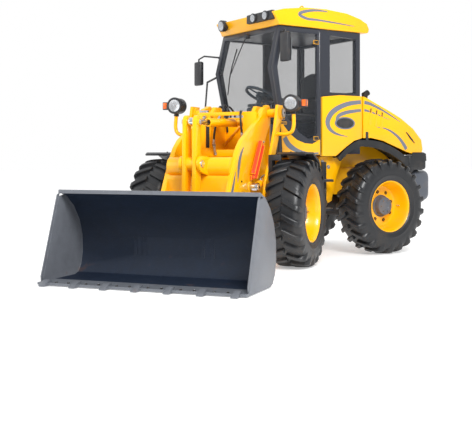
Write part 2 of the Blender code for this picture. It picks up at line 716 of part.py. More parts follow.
def bucket(body):
    outer, inner = bucket_curve(-BUCKET_PLATE)
    shell = plate(outer + inner[::-1], -BUCKET_HALF_WIDTH + 0.005, BUCKET_HALF_WIDTH - 0.005)
    cheek = outer[1:9] + [(-3.03, 0.010), (-3.03, 0.06), (-2.79, 0.745)]
    cheeks = [plate(cheek, *x) for x in both_sides((BUCKET_HALF_WIDTH - BUCKET_PLATE, BUCKET_HALF_WIDTH))]
    ear = [(-2.40, 0.45)] + arc(BUCKET_PIVOT, 0.07, 110, -80, 8) + [(-2.40, 0.10)]
    link_ear = [(-2.44, 0.54)] + arc(LINK_PIVOT, 0.045, 80, -80, 6) + [(-2.39, 0.36)]
    ears = [plate(ear, *x) for ranges in BUCKET_EARS for x in both_sides(ranges)]
    ears += [plate(link_ear, *x) for x in both_sides(ROCKER_LUG)]
    whole = join(shell, *cheeks, *ears)
    bores = [
        rod(side(BUCKET_PIVOT, -0.45), side(BUCKET_PIVOT, 0.45), 0.034, 20),
        rod(side(LINK_PIVOT, -0.15), side(LINK_PIVOT, 0.15), 0.0235, 16),
    ]
    part(cut(whole, *bores), "bucket", body, "bucket paint")


def cutting_edge(body):
    """A bar along the lip with seven wedge teeth."""
    bar = box((-BUCKET_HALF_WIDTH, BUCKET_HALF_WIDTH), (-3.095, -3.03 - GAP), (0.008, 0.030))
    wedge = ((-3.04, 0.006), (-3.163, 0.006), (-3.163, 0.014), (-3.09, 0.052), (-3.04, 0.052))
    teeth = []
    for i in range(7):
        x = (i - 3) * 0.289
        teeth.append(plate(wedge, x - 0.028, x + 0.028))
    part(join(bar, *teeth), "cutting_edge", body, "bucket paint")


# ---------------------------------------------------------------- cylinders


def cylinder(name, barrel_body, rod_body, base, eye, axis, sizes):
    """A hollow barrel on its base pin, and a rod that carries its own far pin.

    axis is the pins' direction. sizes: (barrel length, barrel radius, bore radius, rod radius,
    half width of the eyes, base pin bore, length of rod left inside, half length of the far pin).
    """
    length, outer, bore, rod_radius, half, base_bore, inside, half_pin = sizes
    base, eye, axis = Vector(base), Vector(eye), Vector(axis)
    along = (eye - base).normalized()
    bore_start = base + along * (outer * 1.05 + 0.03)
    end = base + along * length
    tube_body = rod(base + along * outer * 0.8, end, outer, 18)
    bore_cutter = rod(bore_start, end + along * 0.05, bore, 14)
    base_eye = rod(base - axis * half, base + axis * half, outer * 1.05, 18)
    barrel = cut(
        join(base_eye, tube_body),
        bore_cutter,
        rod(base - axis * (half + 0.05), base + axis * (half + 0.05), base_bore, 16),
    )
    part(barrel, f"{name}_barrel", barrel_body, "yellow paint")
    rod_eye = rod(eye - axis * half, eye + axis * half, outer, 18)
    shaft = rod(end - along * inside, eye - along * outer * 0.6, rod_radius, 12)
    far_pin = rod(eye - axis * half_pin, eye + axis * half_pin, outer * 0.7, 14)
    part(join(shaft, rod_eye, far_pin), f"{name}_rod", rod_body, "bright steel")


# ---------------------------------------------------------------- assembly


def build_rear(root):
    rear_chassis(root)
    axle("rear_axle", root, REAR_AXLE_Y, (0.235, 0.275), 0.66)
    counterweight(root)
    rear_bumper(root)
    engine(root)
    side_panels(root)
    cab_frame(root)
    cab_glass(root)
    cab_roof(root)
    seat(root)
    steering_column(root)
    cab_outside(root)
    hood(Body("hood", (0, *HOOD_HINGE), root))
    door(Body("door", (*DOOR_HINGE, 1.8), root))


def build_front(front):
    front_chassis(front)
    axle("front_axle", front, FRONT_AXLE_Y, TOWER_PLATE, 0.70)
    fenders(front)
    headlights(front)


def build_linkage(front):
    boom_body = Body("boom", side(BOOM_PIVOT), front)
    boom(boom_body)
    rocker_pin_body = Body("rocker pin", side(ROCKER_PIVOT), boom_body)
    pin("rocker_pin", rocker_pin_body, ROCKER_PIVOT, 0.115, 0.035)
    rocker(Body("rocker", side(ROCKER_PIVOT), rocker_pin_body))
    shaft_body = Body("bucket shaft", side(BUCKET_PIVOT), boom_body)
    pin("bucket_pivot_shaft", shaft_body, BUCKET_PIVOT, 0.405, 0.032)
    bucket_body = Body("bucket", side(BUCKET_PIVOT), shaft_body)
    bucket(bucket_body)
    cutting_edge(bucket_body)
    tilt_link(Body("tilt link", side(LINK_PIVOT), bucket_body))
    across = (1, 0, 0)
    tilt_barrel = Body("tilt barrel", side(TILT_BASE), front)
    tilt_rod = Body("tilt rod", side(ROCKER_TOP), tilt_barrel)
    cylinder(
        "tilt_cylinder", tilt_barrel, tilt_rod, side(TILT_BASE), side(ROCKER_TOP), across,
        (0.72, 0.041, 0.030, 0.024, 0.025, 0.033, 0.30, 0.027),
    )
    for name, x in (("left", LIFT_LANE_X), ("right", -LIFT_LANE_X)):
        barrel = Body(f"lift barrel {name}", side(LIFT_BASE, x), front)
        piston = Body(f"lift rod {name}", side(LIFT_EYE, x), barrel)
        cylinder(
            f"lift_cylinder_{name}", barrel, piston, side(LIFT_BASE, x), side(LIFT_EYE, x), across,
            (0.80, 0.036, 0.026, 0.021, 0.032, 0.029, 0.695, 0.040),
        )


def build_steering(root):
    """The steering cylinder lies between the two frames, so it is drawn in the rear frame."""
    base = Vector((STEERING_PIN_X, STEERING_PIN_Y, STEERING_PIN_Z))
    turn = Matrix.Rotation(ARTICULATION_REST, 3, "Z")
    eye = turn @ Vector((STEERING_PIN_X, -STEERING_PIN_Y, STEERING_PIN_Z))
    barrel = Body("steering barrel", base, root)
    piston = Body("steering rod", eye, barrel)
    cylinder(
        "steering_cylinder", barrel, piston, base, eye, (0, 0, 1),
        (0.60, 0.030, 0.021, 0.016, 0.024, 0.0205, 0.48, 0.026),
    )


def centre_on_footprint(root):
    """Move the whole machine so that the origin is under the middle of its bounding box."""
    bpy.context.view_layer.update()
    graph = bpy.context.evaluated_depsgraph_get()
    corners = []
    for obj in PARTS.objects:
        if obj.type == "MESH":
            evaluated = obj.evaluated_get(graph)
            mesh = evaluated.to_mesh()
            corners += [evaluated.matrix_world @ v.co for v in mesh.vertices]
            evaluated.to_mesh_clear()
    for i in (0, 1):
        values = [c[i] for c in corners]
        root.empty.location[i] = -(min(values) + max(values)) / 2
    root.empty.location[2] = -min(c[2] for c in corners)
    bpy.context.view_layer.update()


def main():
    root = Body("rear frame")
    front = Body("front frame", (0, 0, 0), root)
    build_rear(root)
    for name, sign in (("left", 1), ("right", -1)):
        centre = (sign * HALF_TRACK, REAR_AXLE_Y, TYRE_RADIUS)
        wheel(f"rear_{name}", Body(f"wheel rear {name}", centre, root), sign, REAR_AXLE_Y)
        centre = (sign * HALF_TRACK, FRONT_AXLE_Y, TYRE_RADIUS)
        wheel(f"front_{name}", Body(f"wheel front {name}", centre, front), sign, FRONT_AXLE_Y)
    build_front(front)
    build_linkage(front)
    build_steering(root)
    front.empty.rotation_euler.z = ARTICULATION_REST
    centre_on_footprint(root)


main()
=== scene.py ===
"""Compact wheel loader: finishes, tyres, stripes, lamps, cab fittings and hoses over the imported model."""

import json
import math

import bmesh
import bpy
from mathutils import Matrix, Vector
from mathutils.bvhtree import BVHTree


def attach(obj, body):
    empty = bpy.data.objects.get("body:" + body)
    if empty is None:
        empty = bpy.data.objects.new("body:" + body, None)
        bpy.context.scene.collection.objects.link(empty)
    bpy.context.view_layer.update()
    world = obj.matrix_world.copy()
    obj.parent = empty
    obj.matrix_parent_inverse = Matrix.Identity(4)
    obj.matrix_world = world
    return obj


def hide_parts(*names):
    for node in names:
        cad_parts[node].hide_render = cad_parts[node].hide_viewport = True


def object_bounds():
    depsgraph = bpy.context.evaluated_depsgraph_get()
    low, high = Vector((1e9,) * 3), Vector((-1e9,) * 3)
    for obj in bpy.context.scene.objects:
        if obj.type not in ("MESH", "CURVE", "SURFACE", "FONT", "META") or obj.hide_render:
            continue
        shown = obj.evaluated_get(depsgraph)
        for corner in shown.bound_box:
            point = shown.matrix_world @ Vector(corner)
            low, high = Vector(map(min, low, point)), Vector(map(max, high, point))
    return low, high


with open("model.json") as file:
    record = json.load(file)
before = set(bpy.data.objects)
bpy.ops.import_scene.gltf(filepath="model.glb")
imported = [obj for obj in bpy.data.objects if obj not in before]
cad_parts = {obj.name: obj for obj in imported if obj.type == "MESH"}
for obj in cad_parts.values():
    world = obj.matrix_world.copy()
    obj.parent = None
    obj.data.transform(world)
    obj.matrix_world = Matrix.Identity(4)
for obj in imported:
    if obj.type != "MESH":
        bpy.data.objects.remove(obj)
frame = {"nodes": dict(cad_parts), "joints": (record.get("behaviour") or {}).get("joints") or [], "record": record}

bl_info = {
    "name": "Wheel loader finish",
    "version": (1, 0, 0),
    "blender": (4, 5, 0),
    "location": "View3D > Sidebar > Loader",
    "description": "Adds the finishes and small pieces of a compact wheel loader",
    "category": "Object",
}

CAD_BOX = [list(map(float, corner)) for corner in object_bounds()]
NODES = frame["nodes"]
JOINTS = {joint["name"]: joint for joint in frame["joints"]}
PIVOT = Vector(JOINTS["articulation"]["pos_m"])
ACROSS = -Vector(JOINTS["boom_lift"]["axis"])
# The rear frame and the turned front frame each have their middle plane at x = 0
# and the articulation at y = 0.
REAR = Matrix.Translation((PIVOT.x, PIVOT.y, 0))
FRONT = REAR @ Matrix.Rotation(math.atan2(ACROSS.y, ACROSS.x), 4, "Z")
SIDES = (("left", 1), ("right", -1))
WHEELS = (
    ("rear_left", REAR, 1),
    ("rear_right", REAR, -1),
    ("front_left", FRONT, 1),
    ("front_right", FRONT, -1),
)


def local_box(node, place):
    """Lowest and highest corners of a node in one of the two frames."""
    back = place.inverted()
    points = [back @ v.co for v in NODES[node].data.vertices]
    low = Vector([min(p[i] for p in points) for i in range(3)])
    high = Vector([max(p[i] for p in points) for i in range(3)])
    return low, high


# ---------------------------------------------------------------- sizes and colours


def colour(name, description, value):
    return bpy.props.FloatVectorProperty(
        name=name, description=description, default=value, subtype="COLOR", size=3, min=0, max=1
    )


def length(name, description, value):
    return bpy.props.FloatProperty(
        name=name, description=description, default=value, subtype="DISTANCE", unit="LENGTH", min=0
    )


class LoaderColours(bpy.types.PropertyGroup):
    yellow: colour("Body yellow", "Paint of the body, the arms and the rims", (1.0, 0.455, 0.0))
    stripe: colour("Stripe grey", "The swept stripes on the body", (0.145, 0.165, 0.20))
    cab: colour("Cab frame", "Dark paint of the cab pillars and the door", (0.026, 0.029, 0.038))
    bucket: colour("Bucket", "Paint of the outside of the bucket", (0.135, 0.145, 0.165))
    # inside the bucket: dark paint, made darker still by painted shade
    bucket_inside_paint_and_shade: colour("Bucket inside", "Dark paint inside the bucket", (0.0045, 0.011, 0.026))
    ballast: colour("Counterweight", "Grey paint of the counterweight", (0.085, 0.095, 0.115))
    rubber: colour("Tyre rubber", "Tyres, bumper and hoses", (0.010, 0.011, 0.013))
    red: colour("Lift stop red", "The safety strut on the left arm", (0.86, 0.055, 0.022))
    amber: colour("Indicator amber", "Lenses of the indicators", (0.85, 0.14, 0.01))
    dust: colour("Dust", "Dry soil that gathers low on the machine", (0.27, 0.20, 0.13))


class LoaderSizes(bpy.types.PropertyGroup):
    lugs: bpy.props.IntProperty(
        name="Lugs", description="Tread lugs on each side of a tyre", default=22, min=12, max=30
    )
    lug_height: length("Lug height", "How far the lugs stand above the carcass", 0.030)
    edge: length("Edge radius", "Rounding of the plate edges", 0.004)
    stripe: length("Stripe thickness", "How far a stripe stands off the panel", 0.0012)
    hose: length("Hose diameter", "Outer diameter of the hydraulic hoses", 0.022)
    bolt: length("Bolt size", "Across the flats of a wheel bolt", 0.026)


# ---------------------------------------------------------------- materials


class Socket:
    """A value in a material; arithmetic on it adds Math nodes."""

    def __init__(self, finish, link):
        self.finish, self.link = finish, link

    def math(self, operation, *others):
        node = self.finish.node(
            "ShaderNodeMath", {"operation": operation}, dict(enumerate((self, *others)))
        )
        return Socket(self.finish, node.outputs[0])

    def __add__(self, other):
        return self.math("ADD", other)

    def __sub__(self, other):
        return self.math("SUBTRACT", other)

    def __mul__(self, other):
        return self.math("MULTIPLY", other)

    __radd__ = __add__
    __rmul__ = __mul__

    def __rsub__(self, other):
        node = self.finish.node("ShaderNodeMath", {"operation": "SUBTRACT"}, {0: other, 1: self})
        return Socket(self.finish, node.outputs[0])

    def step(self, low, high):
        """0 below low, 1 above high and smooth between them."""
        node = self.finish.node(
            "ShaderNodeMapRange",
            {"interpolation_type": "SMOOTHSTEP"},
            {"Value": self, "From Min": low, "From Max": high},
        )
        return Socket(self.finish, node.outputs[0])


class Finish:
    """A material under construction."""

    def __init__(self, name):
        self.material = bpy.data.materials.new(name)
        self.material.use_nodes = True
        self.tree = self.material.node_tree
        self.tree.nodes.clear()
        self.place = self.output("ShaderNodeTexCoord", "Object")

    def node(self, kind, settings=None, inputs=None):
        made = self.tree.nodes.new(kind)
        for key, value in (settings or {}).items():
            setattr(made, key, value)
        for key, value in (inputs or {}).items():
            if isinstance(value, Socket):
                self.tree.links.new(value.link, made.inputs[key])
            else:
                made.inputs[key].default_value = value
        return made

    def output(self, kind, name, settings=None, inputs=None):
        return Socket(self, self.node(kind, settings, inputs).outputs[name])

    def vector(self, operation, a, b):
        node = self.node("ShaderNodeVectorMath", {"operation": operation}, {0: a, 1: b})
        return Socket(self, node.outputs["Value" if operation == "DOT_PRODUCT" else "Vector"])

    def noise(self, scale, detail=3.0, stretch=None):
        at = self.vector("MULTIPLY", self.place, stretch) if stretch else self.place
        return self.output(
            "ShaderNodeTexNoise", 0, None, {"Vector": at, "Scale": scale, "Detail": detail}
        )

    def axis(self, name):
        return self.output("ShaderNodeSeparateXYZ", name, None, {0: self.place})

    def mix(self, factor, a, b):
        inputs = {0: factor}
        for index, value in ((6, a), (7, b)):
            inputs[index] = value if isinstance(value, Socket) else (*value, 1.0)
        return Socket(self, self.node("ShaderNodeMix", {"data_type": "RGBA"}, inputs).outputs[2])

    def bump(self, height, distance, strength=1.0):
        return self.output(
            "ShaderNodeBump", 0, None, {"Height": height, "Distance": distance, "Strength": strength}
        )

    def surface(self, base, roughness, **others):
        """Closes the material with one Principled shader; underscores in a name stand for spaces."""
        inputs = {"Base Color": base if isinstance(base, Socket) else (*base, 1.0), "Roughness": roughness}
        inputs.update({key.replace("_", " "): value for key, value in others.items()})
        shader = self.node("ShaderNodeBsdfPrincipled", None, inputs)
        self.node("ShaderNodeOutputMaterial", None, {0: Socket(self, shader.outputs[0])})
        return self.material


def scaled(tone, factor):
    return tuple(min(1.0, c * factor) for c in tone)


def painted(name, tone, rough, coat, dust, chips):
    """Gloss paint with a slow drift in tone, soil low down, fine scuffs and a few chips."""
    colours = bpy.context.scene.loader_colours
    made = Finish(name)
    drift = made.noise(1.7, 2.0)
    fine = made.noise(38.0, 4.0)
    base = made.mix(drift, scaled(tone, 0.90), scaled(tone, 1.07))
    low = 1.0 - made.axis("Z").step(0.25, 1.25)
    soil = low * made.noise(5.0, 6.0).step(0.42, 0.75) * dust
    base = made.mix(soil, base, colours.dust)
    streak = made.noise(9.0, 3.0, (3.0, 3.0, 0.35)).step(0.60, 0.80)
    base = made.mix(streak * 0.10, base, scaled(tone, 0.55))
    chip = made.noise(60.0, 2.0).step(0.705, 0.73) * made.noise(3.0, 2.0).step(0.52, 0.66) * chips
    base = made.mix(chip, base, (0.10, 0.085, 0.075))
    roughness = fine * 0.12 + soil * 0.35 + (rough - 0.06)
    height = made.noise(260.0, 1.0) * 0.25 - chip
    return made.surface(
        base, roughness, Coat_Weight=coat * 0.5, Coat_Roughness=0.10, Specular_IOR_Level=0.35,
        Normal=made.bump(height, 0.0004, 0.35),
    )


def bucket_steel():
    """Worn paint outside; inside, dark paint darkened further by painted shade; scratches along the floor and
    bright worn lips.
    """
    colours = bpy.context.scene.loader_colours
    made = Finish("bucket_steel")
    middle = FRONT @ Vector((0, -2.66, 0.47))
    inward = made.vector("SUBTRACT", tuple(middle), made.place)
    normal = made.output("ShaderNodeNewGeometry", "Normal")
    turned = made.output(
        "ShaderNodeVectorTransform",
        0,
        {"vector_type": "NORMAL", "convert_from": "WORLD", "convert_to": "OBJECT"},
        {0: normal},
    )
    from_pivot = made.vector("SUBTRACT", made.place, tuple(FRONT @ Vector()))
    lateral = made.vector("DOT_PRODUCT", from_pivot, tuple(ACROSS))
    depth = made.vector("DOT_PRODUCT", from_pivot, tuple(FRONT.to_3x3() @ Vector((0, 1, 0))))
    # faces that look into the bucket; their darker colour is partly dark paint and partly painted shade
    inside = made.vector("DOT_PRODUCT", inward, turned).step(0.04, 0.12)
    inside = inside * (1.0 - lateral.math("ABSOLUTE").step(0.924, 0.928)) * depth.step(-2.86, -2.85)
    fine = made.noise(14.0, 6.0)
    scratch = made.noise(30.0, 4.0, (1.0, 1.0, 9.0)).step(0.60, 0.68)
    outer = made.mix(fine, scaled(colours.bucket, 0.80), scaled(colours.bucket, 1.2))
    inner = made.mix(fine, scaled(colours.bucket_inside_paint_and_shade, 0.75), scaled(colours.bucket_inside_paint_and_shade, 1.5))
    # inside takes the dark paint with painted shade, outside and the lips the lighter paint
    base = made.mix(inside, outer, inner)
    base = made.mix(scratch * (0.12 - inside * 0.09), base, (0.25, 0.27, 0.30))
    rust = made.noise(7.0, 5.0).step(0.62, 0.74) * (1.0 - made.axis("Z").step(0.02, 0.40))
    base = made.mix(rust * 0.35, base, (0.12, 0.055, 0.025))
    roughness = fine * 0.14 + inside * 0.16 + rust * 0.2 + 0.36
    return made.surface(
        base, roughness, Metallic=0.25, Normal=made.bump(fine * 0.6 - scratch * 0.4, 0.0012, 0.4)
    )


def worn_steel(name, tone, rough, stains):
    made = Finish(name)
    fine = made.noise(55.0, 5.0)
    brushed = made.noise(90.0, 3.0, (1.0, 1.0, 14.0))
    base = made.mix(fine, scaled(tone, 0.72), scaled(tone, 1.12))
    spots = made.noise(18.0, 5.0).step(0.62, 0.74)
    base = made.mix(spots * 0.25 * stains, base, (0.09, 0.055, 0.035))
    return made.surface(
        base,
        brushed * 0.14 + spots * 0.2 * stains + (rough - 0.06),
        Metallic=0.95,
        Normal=made.bump(brushed, 0.0003, 0.25),
    )


def tyre_rubber():
    colours = bpy.context.scene.loader_colours
    made = Finish("tyre_rubber")
    fine = made.noise(70.0, 5.0)
    cloud = made.noise(6.0, 5.0).step(0.42, 0.72)
    base = made.mix(fine, scaled(colours.rubber, 0.75), scaled(colours.rubber, 1.5))
    low = 1.0 - made.axis("Z").step(0.0, 0.75)
    base = made.mix(cloud * (low * 0.06 + 0.015), base, colours.dust)
    return made.surface(
        base,
        fine * 0.14 + cloud * 0.12 + 0.30,
        Normal=made.bump(fine + made.noise(300.0, 2.0) * 0.4, 0.0012, 0.5),
    )


def moulded(name, tone, rough, grain=240.0):
    made = Finish(name)
    fine = made.noise(grain, 3.0)
    cloud = made.noise(7.0, 4.0)
    base = made.mix(cloud, scaled(tone, 0.8), scaled(tone, 1.3))
    dusty = cloud.step(0.5, 0.75) * 0.08
    base = made.mix(dusty, base, bpy.context.scene.loader_colours.dust)
    return made.surface(base, cloud * 0.12 + (rough - 0.06), Normal=made.bump(fine, 0.0006, 0.35))


def window_glass():
    made = Finish("window_glass")
    film = made.noise(2.0, 2.0)
    base = made.mix(film, (0.030, 0.034, 0.040), (0.050, 0.055, 0.062))
    return made.surface(base, film * 0.04 + 0.02, Alpha=film * 0.04 + 0.17)


def lens(name, tone, rough, alpha=1.0):
    made = Finish(name)
    ribs = made.noise(260.0, 1.0)
    base = made.mix(ribs, scaled(tone, 0.8), scaled(tone, 1.1))
    return made.surface(
        base, ribs * 0.08 + rough, Alpha=alpha, Coat_Weight=0.6, Normal=made.bump(ribs, 0.0008, 0.4)
    )


def mirror_face():
    made = Finish("mirror_face")
    film = made.noise(12.0, 4.0)
    base = made.mix(film, (0.62, 0.65, 0.68), (0.74, 0.76, 0.78))
    return made.surface(base, film * 0.06 + 0.03, Metallic=1.0)


def woven_cloth():
    made = Finish("seat_cloth")
    threads = {"Vector": made.place, "Scale": 160.0, "Distortion": 1.0}
    warp, weft = (
        made.output("ShaderNodeTexWave", 1, {"bands_direction": axis}, threads) for axis in "XZ"
    )
    weave = warp * weft
    base = made.mix(weave, (0.012, 0.013, 0.016), (0.045, 0.048, 0.055))
    return made.surface(base, weave * 0.1 + 0.8, Normal=made.bump(weave, 0.0008, 0.6), Sheen_Weight=0.3)


def pale_floor():
    made = Finish("pale_floor")
    cloud = made.noise(0.6, 3.0)
    return made.surface(
        made.mix(cloud, (0.80, 0.80, 0.80), (0.84, 0.84, 0.84)),
        cloud * 0.1 + 0.45,
        Emission_Color=(1.0, 1.0, 1.0, 1.0),
        Emission_Strength=0.34,
    )


def make_finishes():
    colours = bpy.context.scene.loader_colours
    paints = (  # name, tone, roughness, coat, dust, chips
        ("yellow_paint", colours.yellow, 0.30, 0.6, 0.22, 0.4),
        ("dark_paint", colours.cab, 0.34, 0.4, 0.20, 0.3),
        ("grey_paint", colours.ballast, 0.42, 0.2, 0.30, 0.5),
        ("stripe_film", colours.stripe, 0.32, 0.4, 0.15, 0.1),
        ("red_paint", colours.red, 0.30, 0.5, 0.15, 0.5),
    )
    metals = (  # name, tone, roughness, stains
        ("chrome", (0.72, 0.74, 0.77), 0.14, 0.1),
        ("steel", (0.50, 0.52, 0.55), 0.34, 0.6),
        ("iron", (0.060, 0.055, 0.052), 0.60, 1.0),
        ("reflector", (0.60, 0.62, 0.65), 0.12, 0.0),
    )
    made = {name: painted(name, tuple(tone), *rest) for name, tone, *rest in paints}
    made.update({name: worn_steel(name, *rest) for name, *rest in metals})
    made.update({
        "bucket_steel": bucket_steel(),
        "tyre": tyre_rubber(),
        "rubber": moulded("rubber", tuple(colours.rubber), 0.48, 180.0),
        "plastic": moulded("plastic", (0.016, 0.017, 0.020), 0.42),
        "console": moulded("console", (0.045, 0.065, 0.085), 0.5),
        "glass": window_glass(),
        "lens": lens("lens", (0.70, 0.72, 0.74), 0.05, 0.22),
        "amber": lens("amber", tuple(colours.amber), 0.15),
        "tail_red": lens("tail_red", (0.55, 0.01, 0.008), 0.15),
        "mirror": mirror_face(),
        "seat_cloth": woven_cloth(),
    })
    return made


FINISHES = {}
CURVE_STEPS = 8
RIM_BOLTS, HUB_BOLTS = 8, 6
GRILLE_SLOTS, SLOT_PITCH = 9, 0.034
TEETH, TOOTH_PITCH = 7, 0.289
SHARP_ANGLE, BEVEL_ANGLE = math.radians(35), math.radians(42)
SKIN_REACH = 0.75  # half-width from which rays are cast inwards at the body's side

# ---------------------------------------------------------------- shapes


class Shape:
    """A mesh under construction, out of simple closed solids placed in one of the two frames."""

    def __init__(self, place=None):
        self.bm = bmesh.new()
        self.place = place or Matrix()
        self.names = []
        self.index = 0

    def of(self, finish):
        """The solids that follow take this finish."""
        if finish not in self.names:
            self.names.append(finish)
        self.index = self.names.index(finish)
        return self

    def _marked(self, verts):
        for v in verts:
            for face in v.link_faces:
                face.material_index = self.index
        return verts

    def box(self, x, y, z, edge=0.0, turn=None, segments=2):
        size = Vector((x[1] - x[0], y[1] - y[0], z[1] - z[0]))
        middle = Matrix.Translation(((x[0] + x[1]) / 2, (y[0] + y[1]) / 2, (z[0] + z[1]) / 2))
        at = self.place @ middle @ (turn or Matrix()) @ Matrix.Diagonal((*size, 1))
        made = bmesh.ops.create_cube(self.bm, size=1.0, matrix=at)["verts"]
        self._marked(made)
        if edge:
            edges = list({e for v in made for e in v.link_edges})
            bmesh.ops.bevel(
                self.bm, geom=edges, offset=edge, segments=segments, profile=0.55, affect="EDGES",
            )
        return self

    def loft(self, rings, capped=True):
        """Faces between neighbouring rings of vertices, and one across each end."""
        sides = len(rings[0])
        for low, high in zip(rings, rings[1:]):
            for i in range(sides):
                j = (i + 1) % sides
                corners = list(dict.fromkeys((low[i], low[j], high[j], high[i])))
                self.bm.faces.new(corners).material_index = self.index
        if capped:
            for end in (rings[0][::-1], rings[-1]):
                self.bm.faces.new(end).material_index = self.index
        return self

    def rod(self, start, end, radius, tip=None, sides=24, edge=0.0):
        start, end = Vector(start), Vector(end)
        along = end - start
        turn = along.to_track_quat("Z", "Y").to_matrix().to_4x4()
        at = self.place @ Matrix.Translation((start + end) / 2) @ turn
        made = bmesh.ops.create_cone(
            self.bm, cap_ends=True, segments=sides, radius1=radius,
            radius2=radius if tip is None else tip, depth=along.length, matrix=at,
        )["verts"]
        self._marked(made)
        if edge:
            rims = [e for e in {e for v in made for e in v.link_edges}
                    if any(len(f.verts) > 4 for f in e.link_faces)]
            bmesh.ops.bevel(self.bm, geom=rims, offset=edge, segments=2, profile=0.6, affect="EDGES")
        return self

    def turned(self, profile, at, sides, closed=False):
        """A profile of (radius, height) pairs turned round the Z axis of at."""
        at = self.place @ at
        rings = []
        for radius, height in profile:
            if radius < 1e-6:
                rings.append([self.bm.verts.new(at @ Vector((0, 0, height)))] * sides)
                continue
            rings.append([
                self.bm.verts.new(at @ Vector((radius * math.cos(a), radius * math.sin(a), height)))
                for a in (2 * math.pi * i / sides for i in range(sides))
            ])
        return self.loft(rings + rings[:1] if closed else rings, capped=False)

    def plate(self, outline, thickness, at, edge=0.0):
        """A flat outline in the XY plane of at, made thick along its Z."""
        at = self.place @ at
        low = [self.bm.verts.new(at @ Vector((x, y, 0))) for x, y in outline]
        high = [self.bm.verts.new(at @ Vector((x, y, thickness))) for x, y in outline]
        self.bm.faces.new(low[::-1])
        self.bm.faces.new(high)
        for i in range(len(low)):
            j = (i + 1) % len(low)
            self.bm.faces.new((low[i], low[j], high[j], high[i]))
        self._marked(low + high)
        if edge:
            rims = [e for v in low + high for e in v.link_edges]
            bmesh.ops.bevel(
                self.bm, geom=list(set(rims)), offset=edge, segments=2, profile=0.6, affect="EDGES",
            )
        return self

    def tube(self, points, radius, sides=12):
        """A round bar or hose on a smooth curve through the points."""
        path = smooth_path([Vector(p) for p in points], CURVE_STEPS)
        side = None
        rings = []
        for i, here in enumerate(path):
            along = (path[min(i + 1, len(path) - 1)] - path[max(i - 1, 0)]).normalized()
            side = along.orthogonal() if side is None else side - along * side.dot(along)
            side.normalize()
            other = along.cross(side)
            rings.append([
                self.bm.verts.new(self.place @ (here + radius * (side * math.cos(a) + other * math.sin(a))))
                for a in (2 * math.pi * k / sides for k in range(sides))
            ])
        return self.loft(rings)

    def bolt(self, at, along, size, washer=True):
        """A hexagon head with a washer; at is on the surface and along points out of it."""
        at, along = Vector(at), Vector(along).normalized()
        if washer:
            self.rod(at - along * 0.002, at + along * size * 0.12, size * 0.75, sides=16)
        return self.rod(at, at + along * size * 0.55, size * 0.56, size * 0.50, sides=6, edge=size * 0.06)

    def piece(self, name, body, slot, angle=38, replaces=()):
        bmesh.ops.recalc_face_normals(self.bm, faces=self.bm.faces)
        mesh = bpy.data.meshes.new(name)
        self.bm.to_mesh(mesh)
        self.bm.free()
        for finish in self.names:
            mesh.materials.append(FINISHES[finish])
        mesh.shade_smooth()
        mesh.set_sharp_from_angle(angle=math.radians(angle))
        made = bpy.data.objects.new(name, mesh)
        bpy.context.scene.collection.objects.link(made)
        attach(made, body)
        if replaces:
            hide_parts(*replaces)
        return made


def smooth_path(points, steps):
    """Points along a Catmull-Rom curve through the given points."""
    if len(points) < 3 or steps < 2:
        return points
    padded = [points[0] * 2 - points[1], *points, points[-1] * 2 - points[-2]]
    path = []
    for a, b, c, d in zip(padded, padded[1:], padded[2:], padded[3:]):
        for i in range(steps):
            t = i / steps
            path.append(
                0.5 * (2 * b + (c - a) * t + (2 * a - 5 * b + 4 * c - d) * t**2 + (3 * b - a - 3 * c + d) * t**3)
            )
    return path + [points[-1]]


def facing(axis_x):
    """A matrix whose Z axis points along +X or -X, with its X along Y and its Y up."""
    return Matrix(((0, 0, axis_x, 0), (1, 0, 0, 0), (0, 1, 0, 0), (0, 0, 0, 1)))


def span(sign, near, far):
    """The low and high x of something between two distances from the middle plane, on one side."""
    return sorted((sign * near, sign * far))


# ---------------------------------------------------------------- finishes of the CAD nodes


def soft_shading():
    """A node group that shades smooth but keeps edges over 35 degrees sharp."""
    group = bpy.data.node_groups.new("soft_shading", "GeometryNodeTree")
    group.interface.new_socket("Geometry", in_out="INPUT", socket_type="NodeSocketGeometry")
    group.interface.new_socket("Geometry", in_out="OUTPUT", socket_type="NodeSocketGeometry")
    start = group.nodes.new("NodeGroupInput")
    end = group.nodes.new("NodeGroupOutput")
    faces = group.nodes.new("GeometryNodeSetShadeSmooth")
    edges = group.nodes.new("GeometryNodeSetShadeSmooth")
    edges.domain = "EDGE"
    angle = group.nodes.new("GeometryNodeInputMeshEdgeAngle")
    sharp = group.nodes.new("FunctionNodeCompare")
    sharp.operation = "GREATER_THAN"
    sharp.inputs[1].default_value = SHARP_ANGLE
    edges.inputs["Shade Smooth"].default_value = False
    link = group.links.new
    link(start.outputs[0], faces.inputs["Geometry"])
    link(faces.outputs[0], edges.inputs["Geometry"])
    link(angle.outputs[0], sharp.inputs[0])
    link(sharp.outputs[0], edges.inputs["Selection"])
    link(edges.outputs[0], end.inputs[0])
    return group


def soften(obj, width, group):
    weld = obj.modifiers.new("weld", "WELD")
    weld.merge_threshold = 0.0001
    if width:
        bevel = obj.modifiers.new("edge", "BEVEL")
        bevel.width = width
        bevel.segments = 2
        bevel.limit_method = "ANGLE"
        bevel.angle_limit = BEVEL_ANGLE
    shade = obj.modifiers.new("shade", "NODES")
    shade.node_group = group


